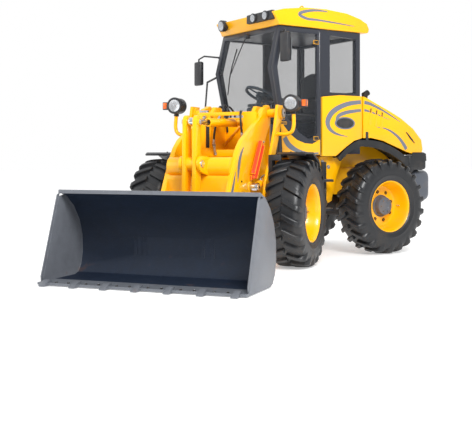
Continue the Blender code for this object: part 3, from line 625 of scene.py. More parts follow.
class LOADER_OT_finishes(bpy.types.Operator):
    """Make the materials and give every CAD node its finish and rounded plate edges"""

    bl_idname = "loader.finishes"
    bl_label = "Finishes"

    def execute(self, context):
        FINISHES.update(make_finishes())
        group = soft_shading()
        edge = context.scene.loader_sizes.edge
        slots = {m["slot"]: m.get("nodes", []) for m in frame["record"]["materials"]}
        by_node = {node: slot for slot, nodes in slots.items() for node in nodes}
        for name, obj in NODES.items():
            slot = by_node.get(name) or obj.data.materials[0].name.split(".")[0]
            finish = {
                "steering_column": "console", "exhaust_tip": "iron", "headlight_left": "plastic",
            }.get(name, slot)
            if finish not in FINISHES:
                raise RuntimeError(f"no finish for slot {slot} of {name}")
            obj.material_slots[0].material = FINISHES[finish]
            thin = finish == "glass" or name.startswith(("mirror", "grab_rail"))
            soften(obj, 0.0 if thin else edge, group)
        return {"FINISHED"}


# ---------------------------------------------------------------- wheels


def carcass_profile(radius, half, lug):
    """Outer contour of the tyre from one bead over the tread to the other, as (radius, height)."""
    crown = radius - lug
    one = [
        (0.272, half - 0.045), (0.280, half - 0.030), (0.292, half - 0.020), (0.302, half - 0.012),
        (0.308, half - 0.014), (0.318, half - 0.010), (0.345, half - 0.004), (0.350, half - 0.001),
        (0.356, half - 0.003), (0.385, half - 0.001), (0.415, half - 0.002), (0.440, half - 0.006),
        (0.462, half - 0.014), (0.480, half - 0.026), (crown - 0.010, half - 0.045),
        (crown - 0.003, half - 0.075),
        (crown, half - 0.11),
    ]
    return one + [(r, -h) for r, h in reversed(one)]


def tyre_lug(shape, at, radius, half, lug, start, sign):
    """One lug from near the middle of the tread, over the shoulder and down the sidewall."""
    path = (
        # height across the tyre, radius of the base, radius of the top, half width and lean in angle
        (0.006, -0.012, 0.000, 0.052, 0.000), (0.045, -0.010, 0.000, 0.056, 0.035),
        (0.095, -0.012, -0.002, 0.058, 0.085), (half - 0.050, -0.018, -0.006, 0.060, 0.125),
        (half - 0.018, -0.040, -0.016, 0.058, 0.150), (half - 0.006, -0.066, -0.034, 0.050, 0.165),
        (half - 0.001, -0.092, -0.078, 0.036, 0.172),
    )
    taper = 0.80
    rings = []
    for height, base, top, wide, lean in path:
        low, high = radius - lug + base + 0.004, radius + top
        corners = ((low, -wide), (low, wide), (high, wide * taper), (high, -wide * taper))
        rings.append([
            shape.bm.verts.new(shape.place @ at @ Vector((r * math.cos(a), r * math.sin(a), sign * height)))
            for r, a in ((r, start + lean + turn) for r, turn in corners)
        ])
    shape.loft(rings)
    crown = {v for ring in rings for v in ring[2:]}
    tops = {e for v in crown for e in v.link_edges if e.other_vert(v) in crown}
    bmesh.ops.bevel(
        shape.bm, geom=list(tops), offset=0.005, segments=1, affect="EDGES", clamp_overlap=True
    )


class LOADER_OT_tyres(bpy.types.Operator):
    """Four tyres with a carcass, sidewall rings and deep lugs that lean towards the rolling direction"""

    bl_idname = "loader.tyres"
    bl_label = "Tyres"

    def execute(self, context):
        sizes = context.scene.loader_sizes
        for name, place, _ in WHEELS:
            low, high = local_box(f"tyre_{name}", place)
            middle = (low + high) / 2
            radius, half = (high.z - low.z) / 2, (high.x - low.x) / 2
            at = Matrix.Translation(middle) @ facing(1)
            shape = Shape(place).of("tyre")
            shape.turned(carcass_profile(radius, half, sizes.lug_height), at, 96, closed=True)
            pitch = 2 * math.pi / sizes.lugs
            for i in range(sizes.lugs):
                for step, end in ((i, 1), (i + 0.5, -1)):
                    tyre_lug(shape, at, radius, half - 0.001, sizes.lug_height, step * pitch, end)
            shape.piece(f"tread_{name}", f"wheel_{name}", "tyre", 30, (f"tyre_{name}",))
        return {"FINISHED"}


class LOADER_OT_rims(bpy.types.Operator):
    """Four dished rims with rolled flanges, wheel bolts, a grey hub and a valve"""

    bl_idname = "loader.rims"
    bl_label = "Rims"

    def execute(self, context):
        bolt = context.scene.loader_sizes.bolt
        dish = [
            (0.0, 0.004), (0.128, 0.004), (0.205, -0.010), (0.226, -0.004), (0.240, 0.018), (0.252, 0.060),
            (0.262, 0.110), (0.268, 0.148), (0.276, 0.162), (0.284, 0.170), (0.290, 0.168), (0.291, 0.160),
            (0.286, 0.154), (0.276, 0.150), (0.271, 0.140), (0.271, -0.140), (0.276, -0.150),
            (0.288, -0.158), (0.290, -0.168), (0.280, -0.170), (0.266, -0.158), (0.258, -0.100),
            (0.250, -0.050), (0.20, -0.024), (0.10, -0.020), (0.0, -0.020),
        ]
        hub = [
            (0.0, 0.082), (0.045, 0.082), (0.050, 0.086), (0.086, 0.086), (0.098, 0.080), (0.104, 0.068),
            (0.106, 0.020), (0.118, 0.014), (0.126, 0.010), (0.126, 0.0),
        ]
        for name, place, sign in WHEELS:
            low, high = local_box(f"rim_{name}", place)
            at = Matrix.Translation((low + high) / 2) @ facing(sign)
            shape = Shape(place).of("yellow_paint").turned(dish, at, 72)
            shape.of("grey_paint").turned(hub, at, 40)
            for i in range(RIM_BOLTS):
                angle = 2 * math.pi * (i + 0.35) / RIM_BOLTS
                seat = at @ Vector((0.166 * math.cos(angle), 0.166 * math.sin(angle), 0.0))
                shape.of("iron").bolt(seat, (sign, 0, 0), bolt)
            for i in range(HUB_BOLTS):
                angle = 2 * math.pi * i / HUB_BOLTS
                seat = at @ Vector((0.068 * math.cos(angle), 0.068 * math.sin(angle), 0.085))
                shape.of("iron").bolt(seat, (sign, 0, 0), 0.012, washer=False)
            valve = at @ Vector((0.232, 0.0, 0.02))
            shape.of("steel").rod(valve, valve + Vector((sign * 0.045, 0, 0)), 0.005, 0.004, 10)
            shape.piece(f"dish_{name}", f"wheel_{name}", "yellow_paint", 32, (f"rim_{name}",))
        return {"FINISHED"}


# ---------------------------------------------------------------- stripes and panel openings


def skin_of(*names):
    """A search tree of the nodes' faces, to lay film on."""
    points, faces = [], []
    for name in names:
        mesh = NODES[name].data
        start = len(points)
        points += [v.co.copy() for v in mesh.vertices]
        faces += [[start + i for i in p.vertices] for p in mesh.polygons]
    return BVHTree.FromPolygons(points, faces)


def swoosh(shape, skin, place, sign, curve, thickness):
    """A film along (y, z, width) points, laid on the side of a panel at +x or -x."""
    path = smooth_path([Vector(p) for p in curve], CURVE_STEPS)
    inward = place.to_3x3() @ Vector((-sign, 0, 0))
    runs = [[]]
    for i, here in enumerate(path):
        ahead = path[min(i + 1, len(path) - 1)] - path[max(i - 1, 0)]
        across = Vector((-ahead.y, ahead.x)).normalized()
        hits = []
        for share in (-0.5, 0, 0.5):
            offset = share * max(here.z, 0.002)
            start = Vector((sign * SKIN_REACH, here.x + across.x * offset, here.y + across.y * offset))
            hits.append(skin.ray_cast(place @ start, inward, SKIN_REACH)[0])
        if any(hit is None for hit in hits):
            runs.append([])
            continue
        outer = [shape.bm.verts.new(hit - inward * thickness) for hit in hits]
        inner = [shape.bm.verts.new(hit + inward * 0.001) for hit in hits]
        runs[-1].append(outer + inner[::-1])
    for rings in filter(None, runs):
        shape.loft(rings)


def side_of(skin, sign, y, z):
    """How far a panel's outside is from the middle plane at one point of the rear frame."""
    hit = skin.ray_cast(REAR @ Vector((sign * SKIN_REACH, y, z)), Vector((-sign, 0, 0)), SKIN_REACH)[0]
    return abs((REAR.inverted() @ hit).x)


PANEL_CURVES = (
    ((0.950, 1.724, 0.044), (0.785, 1.703, 0.050), (0.638, 1.658, 0.056), (0.522, 1.590, 0.064),
     (0.462, 1.500, 0.066), (0.478, 1.425, 0.050), (0.545, 1.372, 0.034), (0.638, 1.343, 0.018),
     (0.750, 1.326, 0.004)),
    ((0.585, 1.490, 0.030), (0.612, 1.553, 0.040), (0.712, 1.594, 0.042), (0.860, 1.619, 0.036),
     (0.950, 1.630, 0.032)),
)
HOOD_CURVES = (
    ((1.000, 1.722, 0.042), (1.087, 1.708, 0.036), (1.241, 1.655, 0.026), (1.399, 1.588, 0.018),
     (1.558, 1.512, 0.006)),
    ((1.000, 1.632, 0.030), (1.056, 1.625, 0.024), (1.179, 1.594, 0.014), (1.288, 1.562, 0.008),
     (1.399, 1.531, 0.003)),
    ((1.195, 1.443, 0.006), (1.320, 1.428, 0.014), (1.430, 1.389, 0.026), (1.542, 1.320, 0.036),
     (1.623, 1.238, 0.046),
     (1.672, 1.170, 0.050)),
)
DOOR_CURVES = (
    ((-0.145, 1.305, 0.060), (-0.082, 1.222, 0.062), (0.040, 1.160, 0.044), (0.191, 1.134, 0.026),
     (0.340, 1.138, 0.016)),
)
ARM_CURVES = (
    ((-1.560, 1.190, 0.010), (-1.640, 1.110, 0.048), (-1.690, 1.010, 0.066), (-1.712, 0.900, 0.030),
     (-1.716, 0.850, 0.004)),
    ((-1.770, 0.960, 0.006), (-1.820, 0.860, 0.040), (-1.870, 0.760, 0.054), (-1.950, 0.640, 0.050)),
)
ROOF_CURVES = (
    ((0.470, 2.716, 0.012), (0.330, 2.718, 0.024), (0.180, 2.698, 0.032), (0.075, 2.655, 0.036),
     (0.180, 2.615, 0.030), (0.330, 2.612, 0.022), (0.600, 2.600, 0.016), (0.860, 2.585, 0.006)),
)


class LOADER_OT_stripes(bpy.types.Operator):
    """Swept grey stripes on the side panels, the hood, the door, the roof and the arms"""

    bl_idname = "loader.stripes"
    bl_label = "Stripes"

    def execute(self, context):
        thick = context.scene.loader_sizes.stripe
        for side, sign in SIDES:
            for name, body, nodes, place, curves in (
                ("panel_stripe", "rear_frame", (f"side_panel_{side}",), REAR, PANEL_CURVES),
                ("hood_stripe", "hood", ("hood",), REAR, HOOD_CURVES),
                ("roof_stripe", "rear_frame", ("cab_roof",), REAR, ROOF_CURVES),
                ("arm_stripe", "boom", ("boom",), FRONT, ARM_CURVES),
            ):
                skin = skin_of(*nodes)
                shape = Shape().of("stripe_film")
                for curve in curves:
                    swoosh(shape, skin, place, sign, curve, thick)
                shape.piece(f"{name}_{side}", body, "grey_paint", 60)
        shape = Shape().of("stripe_film")
        for curve in DOOR_CURVES:
            swoosh(shape, skin_of("door_left"), REAR, 1, curve, thick + 0.0045)
        shape.piece("door_stripe", "door", "grey_paint", 60)
        return {"FINISHED"}


class LOADER_OT_panels(bpy.types.Operator):
    """Oval plates, vents, slots, latches and the rear grille and lamps of the engine cover"""

    bl_idname = "loader.panels"
    bl_label = "Panels"

    def execute(self, context):
        for side, sign in SIDES:
            at = Matrix.Translation((sign * 0.600, 0.71, 1.477)) @ facing(sign)
            turns = [2 * math.pi * i / 40 for i in range(40)]
            ring = [(0.148 * math.cos(a), 0.070 * math.sin(a)) for a in turns]
            inner = [(x * 0.86, y * 0.80) for x, y in ring]
            shape = Shape(REAR).of("stripe_film").plate(ring, 0.003, at)
            shape.of("plastic").plate(inner, 0.005, at, 0.001)
            shape.piece(f"oval_plate_{side}", "rear_frame", "plastic", 30)

            skin = skin_of("hood")
            vents = Shape(REAR)
            for y, top in ((1.095, 1.668), (1.185, 1.648), (1.270, 1.626)):
                lean = Matrix.Rotation(math.radians(-5), 4, "X")
                x = side_of(skin, sign, y, top - 0.1)
                face = span(sign, x - 0.004, x + 0.003)
                vents.of("yellow_paint").box(face, (y - 0.019, y + 0.019), (top - 0.200, top), 0.003, lean)
                face = span(sign, x - 0.004, x + 0.0045)
                vents.of("rubber").box(
                    face, (y - 0.010, y + 0.012), (top - 0.062, top - 0.010), 0.0015, lean,
                )
            slot = [
                (1.650, 1.392), (1.672, 1.388), (1.752, 1.316), (1.800, 1.262), (1.790, 1.258),
                (1.715, 1.318),
            ]
            x = side_of(skin, sign, 1.72, 1.325)
            vents.of("rubber").plate(
                slot, 0.004, Matrix.Translation((sign * (x - 0.001), 0, 0)) @ facing(sign),
            )
            vents.piece(f"hood_vents_{side}", "hood", "yellow_paint", 30)

            latch = Shape(REAR).of("plastic")
            latch.box(span(sign, 0.597, 0.606), (1.020, 1.060), (1.285, 1.385), 0.004)
            latch.of("rubber").box(span(sign, 0.575, 0.592), (0.905, 0.945), (1.255, 1.345), 0.006)
            latch.piece(f"hood_latch_{side}", "hood", "plastic")

        rear = Shape(REAR)
        back = local_box("rear_bumper", REAR)[1].y
        lens_depth, lens_height = (back + 0.016, back + 0.030), (0.985, 1.060)
        for _, sign in SIDES:
            rear.of("plastic").box(
                span(sign, 0.36, 0.50), (back - 0.004, back + 0.022), (0.975, 1.070), 0.006,
            )
            rear.of("tail_red").box(span(sign, 0.43, 0.49), lens_depth, lens_height, 0.004)
            rear.of("amber").box(span(sign, 0.37, 0.425), lens_depth, lens_height, 0.004)
        rear.of("steel").box((-0.16, 0.16), (back - 0.004, back + 0.006), (0.985, 1.075), 0.002)
        rear.piece("rear_lamps", "rear_frame", "plastic")

        grille = Shape(REAR)
        skin = skin_of("hood")
        for i in range(GRILLE_SLOTS):
            z = 1.20 + i * SLOT_PITCH
            hit = skin.ray_cast(REAR @ Vector((0, 2.4, z)), Vector((0, -1, 0)), 1.5)[0]
            y = (REAR.inverted() @ hit).y
            grille.of("rubber").box((-0.34, 0.34), (y - 0.006, y + 0.004), (z - 0.010, z + 0.008), 0.002)
        grille.piece("rear_grille", "hood", "plastic")
        return {"FINISHED"}


# ---------------------------------------------------------------- cab


def cushion(shape, x, y, z, crown):
    """A stuffed pad: a box whose faces swell between pulled-in corners."""
    middle = Vector(((x[0] + x[1]) / 2, (y[0] + y[1]) / 2, (z[0] + z[1]) / 2))
    half = Vector(((x[1] - x[0]) / 2, (y[1] - y[0]) / 2, (z[1] - z[0]) / 2))
    made = bmesh.new()
    bmesh.ops.create_cube(made, size=2.0)
    bmesh.ops.subdivide_edges(made, edges=made.edges, cuts=10, use_grid_fill=True)
    keep = {}
    for v in made.verts:
        u = Vector(v.co)
        shrink = [1 - 0.10 * (u[(i + 1) % 3] ** 6 + u[(i + 2) % 3] ** 6) for i in range(3)]
        swell = [1 + crown * (1 - u[(i + 1) % 3] ** 2) * (1 - u[(i + 2) % 3] ** 2) for i in range(3)]
        co = Vector([middle[i] + half[i] * u[i] * shrink[i] * swell[i] / (1 + crown) for i in range(3)])
        keep[v] = shape.bm.verts.new(shape.place @ co)
    for face in made.faces:
        shape.bm.faces.new([keep[v] for v in face.verts]).material_index = shape.index
    made.free()


class LOADER_OT_cab_inside(bpy.types.Operator):
    """The seat with its cushions, the console, levers, pedals and floor mat"""

    bl_idname = "loader.cab_inside"
    bl_label = "Cab interior"

    def execute(self, context):
        low, high = local_box("seat", REAR)
        base = Shape(REAR).of("seat_cloth")
        cushion(base, (low.x, high.x), (low.y, 0.70), (low.z + 0.002, 1.60), 0.16)
        pad = base.piece("seat_cushion", "rear_frame", "seat_cloth", 70, ("seat",))
        back = Shape(REAR).of("seat_cloth")
        cushion(back, (-0.225, 0.225), (0.675, 0.790), (1.585, 2.085), 0.18)
        back.piece("seat_back", "rear_frame", "seat_cloth", 70)
        piping = Shape(REAR).of("plastic")
        for x in (-0.20, 0.20):
            piping.tube([(x, 0.30, 1.585), (x, 0.45, 1.598), (x, 0.62, 1.59)], 0.005, 8)
            piping.tube(
                [(x * 0.92, 0.682, 1.63), (x * 0.92, 0.672, 1.85), (x * 0.88, 0.682, 2.04)], 0.005, 8,
            )
        for _, sign in SIDES:
            piping.box(span(sign, 0.255, 0.305), (0.40, 0.70), (1.745, 1.785), 0.012)
            piping.tube(
                [(sign * 0.28, 0.70, 1.765), (sign * 0.27, 0.745, 1.70), (sign * 0.24, 0.745, 1.62)],
                0.012, 10,
            )
        piping.box((-0.20, 0.20), (0.30, 0.68), (1.30, 1.478), 0.02)
        piping.piece("seat_frame", "rear_frame", "plastic")

        desk = Shape(REAR)
        desk.of("console").box((-0.46, 0.46), (-0.170, -0.06), (1.36, 1.425), 0.02)
        desk.of("console").box((-0.12, 0.12), (-0.135, -0.045), (1.665, 1.70), 0.010)
        desk.of("plastic").box((-0.45, -0.31), (0.26, 0.74), (1.40, 1.60), 0.03)
        for i, y in enumerate((0.32, 0.40, 0.48)):
            desk.of("steel").rod((-0.38, y, 1.60), (-0.37, y - 0.02, 1.78 - i * 0.03), 0.006, 0.006, 10)
            desk.of("plastic").rod(
                (-0.37, y - 0.02, 1.77 - i * 0.03), (-0.368, y - 0.024, 1.83 - i * 0.03), 0.017, 0.012,
                14, 0.004,
            )
        for x in (-0.24, 0.20):
            desk.of("rubber").box(
                (x, x + 0.09), (-0.11, -0.05), (1.185, 1.30), 0.01, Matrix.Rotation(0.35, 4, "X"),
            )
        desk.of("rubber").box((-0.50, 0.50), (-0.12, 0.40), (1.1755, 1.184), 0.003)
        desk.of("plastic").box((-0.50, 0.50), (0.80, 0.925), (1.20, 1.76), 0.02)
        desk.piece("cab_controls", "rear_frame", "plastic")
        return {"FINISHED"}


class LOADER_OT_cab_outside(bpy.types.Operator):
    """Wiper, roof visor with work lamps, mirror glass, door skirt, handle and hinges"""

    bl_idname = "loader.cab_outside"
    bl_label = "Cab trim"

    def execute(self, context):
        low, high = local_box("windscreen", REAR)
        trim = Shape(REAR)

        def on_screen(x, t, out=0.0):
            """A point t of the way up the sloping windscreen."""
            y = -0.283 + 0.082 * t - out
            return Vector((x, y, low.z + (high.z - low.z) * t))

        trim.of("plastic").rod(
            on_screen(0.02, 1.0, 0.002), on_screen(0.02, 1.0, 0.055), 0.028, sides=20, edge=0.004,
        )
        trim.of("plastic").tube(
            [on_screen(0.02, 1.0, 0.040), on_screen(-0.13, 0.80, 0.036), on_screen(-0.27, 0.60, 0.026)],
            0.006, 8,
        )
        trim.of("rubber").tube(
            [on_screen(-0.20, 0.88, 0.012), on_screen(-0.30, 0.62, 0.012),
             on_screen(-0.33, 0.36, 0.012)], 0.007, 8,
        )
        for x in (-0.525, -0.505):
            trim.of("plastic").rod(
                on_screen(x, 0.62, 0.02), on_screen(x + 0.07, 0.62, 0.035), 0.008, sides=10,
            )
        trim.piece("wiper", "rear_frame", "plastic")

        visor = Shape(REAR)
        low, high = local_box("cab_roof", REAR)
        front = low.y
        visor.of("plastic").box((0.06, 0.55), (front - 0.004, front + 0.05), (2.580, 2.680), 0.014)
        for x in (0.21, 0.44):
            visor.of("plastic").rod(
                (x, front + 0.01, 2.63), (x, front - 0.022, 2.628), 0.050, 0.053, 24, 0.003,
            )
            visor.of("reflector").rod(
                (x, front - 0.012, 2.628), (x, front - 0.025, 2.627), 0.046, 0.044, 24, 0.003,
            )
        visor.of("plastic").rod(
            (-0.43, front + 0.03, 2.625), (-0.43, front - 0.030, 2.620), 0.064, 0.068, 28, 0.004,
        )
        visor.of("reflector").rod(
            (-0.43, front - 0.020, 2.622), (-0.43, front - 0.034, 2.620), 0.058, 0.056, 28, 0.003,
        )
        for _, sign in SIDES:
            visor.of("plastic").rod(
                (sign * 0.47, high.y - 0.03, 2.60), (sign * 0.47, high.y + 0.022, 2.595), 0.048,
                sides=24, edge=0.004,
            )
            visor.of("reflector").rod(
                (sign * 0.47, high.y + 0.015, 2.596), (sign * 0.47, high.y + 0.026, 2.595), 0.040,
                sides=24, edge=0.003,
            )
        visor.of("yellow_paint").tube(
            [(0.30, 0.315, 2.735), (0.30, 0.295, 2.775), (0.30, 0.330, 2.805), (0.30, 0.365, 2.775),
             (0.30, 0.345, 2.735)], 0.008, 10
        )
        visor.piece("roof_lamps", "rear_frame", "plastic")

        for side, body in (("right", "rear_frame"), ("left", "door")):
            low, high = local_box(f"mirror_{side}", REAR)
            glass = Shape(REAR)
            if side == "right":
                glass.of("plastic").box((-0.872, -0.728), (-0.402, -0.352), (1.948, 2.232), 0.018)
                glass.of("mirror").box((-0.862, -0.738), (-0.350, -0.3475), (1.96, 2.22), 0.001)
            else:
                glass.of("mirror").box(
                    (high.x - 0.135, high.x - 0.012), (high.y - 0.003, high.y + 0.002),
                    (low.z + 0.012, low.z + 0.25), 0.001,
                )
            glass.piece(f"mirror_glass_{side}", body, "chrome")

        door = Shape(REAR)
        skirt = [
            (-0.195, 1.498), (-0.150, 1.428), (-0.070, 1.343), (0.025, 1.279), (0.134, 1.244),
            (0.237, 1.238),
                 (0.345, 1.290), (0.345, 1.122), (0.066, 1.122), (-0.170, 1.135)]
        door.of("yellow_paint").plate(skirt, 0.004, Matrix.Translation((0.6075, 0, 0)) @ facing(1), 0.001)
        door.of("plastic").box((0.603, 0.618), (-0.215, -0.115), (1.445, 1.475), 0.006)
        door.of("steel").rod((0.603, -0.205, 1.425), (0.614, -0.205, 1.425), 0.011, sides=16, edge=0.002)
        for z in (1.30, 2.36):
            door.of("plastic").box((0.600, 0.612), (0.255, 0.325), (z - 0.022, z + 0.022), 0.004)
            for y in (0.270, 0.308):
                door.of("iron").bolt((0.611, y, z), (1, 0, 0), 0.012)
        door.piece("door_fittings", "door", "plastic")
        return {"FINISHED"}


# ---------------------------------------------------------------- lamps, bucket, arms, hoses


class LOADER_OT_headlights(bpy.types.Operator):
    """Headlight bezels, reflectors, lenses and amber indicators on their bent tubes"""

    bl_idname = "loader.headlights"
    bl_label = "Headlights"

    def execute(self, context):
        for side, sign in SIDES:
            low, high = local_box(f"headlight_{side}", FRONT)
            x, front, z = sign * 0.645, low.y, high.z - 0.085
            lamp = Shape(FRONT)
            aim = Matrix.Translation((x, front, z)) @ Matrix.Rotation(math.radians(90), 4, "X")
            bowl = [
                (0.086, -0.045), (0.0885, 0.002), (0.084, 0.012), (0.068, 0.016), (0.064, 0.010),
                (0.063, 0.001),
            ]
            lamp.of("plastic").turned(bowl, aim, 40)
            dish = [
                (0.064, 0.006), (0.050, 0.003), (0.030, 0.0015), (0.012, 0.001), (0.010, 0.006),
                (0.0, 0.007),
            ]
            lamp.of("reflector").turned(dish, aim, 40)
            glass = [(0.065, 0.009), (0.050, 0.013), (0.030, 0.016), (0.0, 0.017)]
            lamp.of("lens").turned(glass, aim, 40)
            lamp.of("plastic").turned([(0.0, -0.165), (0.040, -0.160), (0.072, -0.130)], aim, 32)
            lamp.of("amber").box(
                span(sign, 0.745, 0.802), (-0.968, -0.912), (1.602, 1.682), 0.008
            )
            lamp.of("yellow_paint").tube(
                [(sign * 0.488, -0.94, 1.33), (sign * 0.585, -0.94, 1.33), (sign * 0.640, -0.94, 1.355),
                 (sign * 0.660, -0.94, 1.42), (sign * 0.656, -0.93, 1.54)], 0.0195, 16
            )
            lamp.of("plastic").rod(
                (sign * 0.655, -0.93, 1.53), (sign * 0.652, -0.93, 1.575), 0.028, 0.024, 16, 0.004,
            )
            lamp.piece(f"headlight_trim_{side}", "front_frame", "plastic", 30)
        return {"FINISHED"}


class LOADER_OT_bucket(bpy.types.Operator):
    """Top lip, side cutters, wear strips and tooth bolts of the bucket"""

    bl_idname = "loader.bucket"
    bl_label = "Bucket trim"

    def execute(self, context):
        trim = Shape(FRONT).of("bucket_steel")
        trim.box((-0.948, 0.948), (-2.774, -2.757), (0.772, 0.8065), 0.004)
        for _, sign in SIDES:
            edge = [
                (-3.045, 0.030), (-3.052, 0.075), (-2.800, 0.765), (-2.765, 0.775), (-2.790, 0.700),
                (-3.000, 0.100),
            ]
            trim.plate(edge, 0.010, Matrix.Translation((sign * 0.938, 0, 0)) @ facing(sign), 0.002)
        for i in range(3):
            trim.box((-0.90, 0.90), (-2.90 + i * 0.14, -2.85 + i * 0.14), (0.0025, 0.0098), 0.002)
        trim.piece("bucket_trim", "bucket", "bucket_steel", 30)
        bolts = Shape(FRONT).of("steel")
        for i in range(TEETH):
            x = (i - TEETH // 2) * TOOTH_PITCH
            bolts.of("steel").box((x - 0.026, x + 0.026), (-3.1595, -3.120), (0.0045, 0.0165), 0.003)
            for dx in (-0.085, 0.085):
                if abs(x + dx) < 0.93:
                    bolts.of("iron").bolt((x + dx, -3.062, 0.030), (0, 0, 1), 0.018)
        bolts.piece("tooth_tips", "bucket", "bucket_steel")
        return {"FINISHED"}


def pin_end(shape, x, y, z, radius, sign, reach=0.012):
    """A pin's end with its grease point, out of the face at x."""
    shape.of("steel").rod((x, y, z), (x + sign * reach, y, z), radius, sides=28, edge=0.003)
    shape.of("iron").rod((x + sign * reach, y, z), (x + sign * (reach + 0.006), y, z), 0.008, sides=8)


class LOADER_OT_arms(bpy.types.Operator):
    """Pin ends, keeper plates and the red lift stop of the arms, and the ribs of the tower"""

    bl_idname = "loader.arms"
    bl_label = "Arm fittings"

    def execute(self, context):
        tower = Shape(FRONT)
        face = 0.512  # outer side of the tower plates
        for _, sign in SIDES:
            pin_end(tower, sign * face, -0.83, 1.55, 0.046, sign)
            pin_end(tower, sign * face, -0.50, 0.95, 0.036, sign)
            tower.of("yellow_paint").box(span(sign, 0.510, 0.520), (-0.862, -0.798), (1.478, 1.494), 0.002)
            for y in (-0.85, -0.81):
                tower.of("iron").bolt((sign * 0.519, y, 1.486), (sign, 0, 0), 0.012)
        tower.of("yellow_paint").box((-0.30, 0.30), (-0.630, -0.615), (1.00, 1.52), 0.003)
        for start, end in (((-0.27, 1.15), (0.02, 1.47)), ((0.10, 1.15), (0.24, 1.40))):
            run = Vector((end[0] - start[0], 0, end[1] - start[1]))
            turn = Matrix.Rotation(-math.atan2(run.z, run.x), 4, "Y")
            middle = ((start[0] + end[0]) / 2, (start[1] + end[1]) / 2)
            tower.box(
                (middle[0] - run.length / 2, middle[0] + run.length / 2), (-0.700, -0.628),
                (middle[1] - 0.006, middle[1] + 0.006), 0.002, turn,
            )
        tower.piece("tower_pins", "front_frame", "chrome")

        arms = Shape(FRONT)
        eye = (-1.38, 0.80)
        foot = (-2.17, 0.27)
        for _, sign in SIDES:
            arms.of("yellow_paint").rod(
                (sign * 0.345, *eye), (sign * 0.357, *eye), 0.062, sides=32, edge=0.004,
            )
            pin_end(arms, sign * 0.436, *eye, 0.030, sign, 0.010)
            arms.of("yellow_paint").rod(
                (sign * 0.345, *foot), (sign * 0.362, *foot), 0.064, sides=32, edge=0.004,
            )
            for y, z in ((-2.08, 0.42), (-1.62, 0.86)):
                arms.of("iron").bolt((sign * 0.352, y, z), (sign, 0, 0), 0.014)
        # the lift stop is stowed on the left arm, a channel that drops over the cylinder rod
        low_end, high_end = Vector((0.364, -1.362, 0.905)), Vector((0.364, -1.135, 1.235))
        along = (high_end - low_end).normalized()
        out = Vector((1, 0, 0))
        across = along.cross(out)
        for offset, wide in ((0.0, 0.046), (0.042, 0.006), (-0.042, 0.006)):
            base = (low_end + high_end) / 2 + across * offset
            turn = Matrix((
                (out.x, across.x, along.x, 0), (out.y, across.y, along.y, 0),
                (out.z, across.z, along.z, 0), (0, 0, 0, 1)
            ))
            deep = 0.008 if offset == 0.0 else 0.046
            tall = (high_end - low_end).length
            at = Matrix.Translation(base + out * deep / 2) @ turn
            held, arms.place = arms.place, FRONT @ at
            arms.of("red_paint").box((-deep / 2, deep / 2), (-wide, wide), (-tall / 2, tall / 2), 0.003)
            arms.place = held
        for point, radius in ((low_end, 0.020), (high_end, 0.024)):
            arms.of("red_paint").rod(
                point - along * 0.01 - out * 0.010, point - along * 0.01 + out * 0.030, radius,
                sides=18, edge=0.003,
            )
        arms.of("red_paint").box((0.350, 0.372), (-1.395, -1.350), (0.868, 0.915), 0.004)
        arms.of("steel").rod((0.350, -1.128, 1.246), (0.414, -1.128, 1.246), 0.011, sides=14, edge=0.002)
        arms.piece("arm_fittings", "boom", "chrome")

        linkage = Shape(FRONT)
        for _, sign in SIDES:
            for y, z, reach, radius in ((-2.00, 1.42, 0.093, 0.026), (-2.05, 0.34, 0.090, 0.022)):
                linkage.of("steel").rod(
                    (sign * 0.084, y, z), (sign * reach, y, z), radius, sides=24, edge=0.003,
                )
        linkage.piece("rocker_pins", "rocker", "chrome")
        return {"FINISHED"}


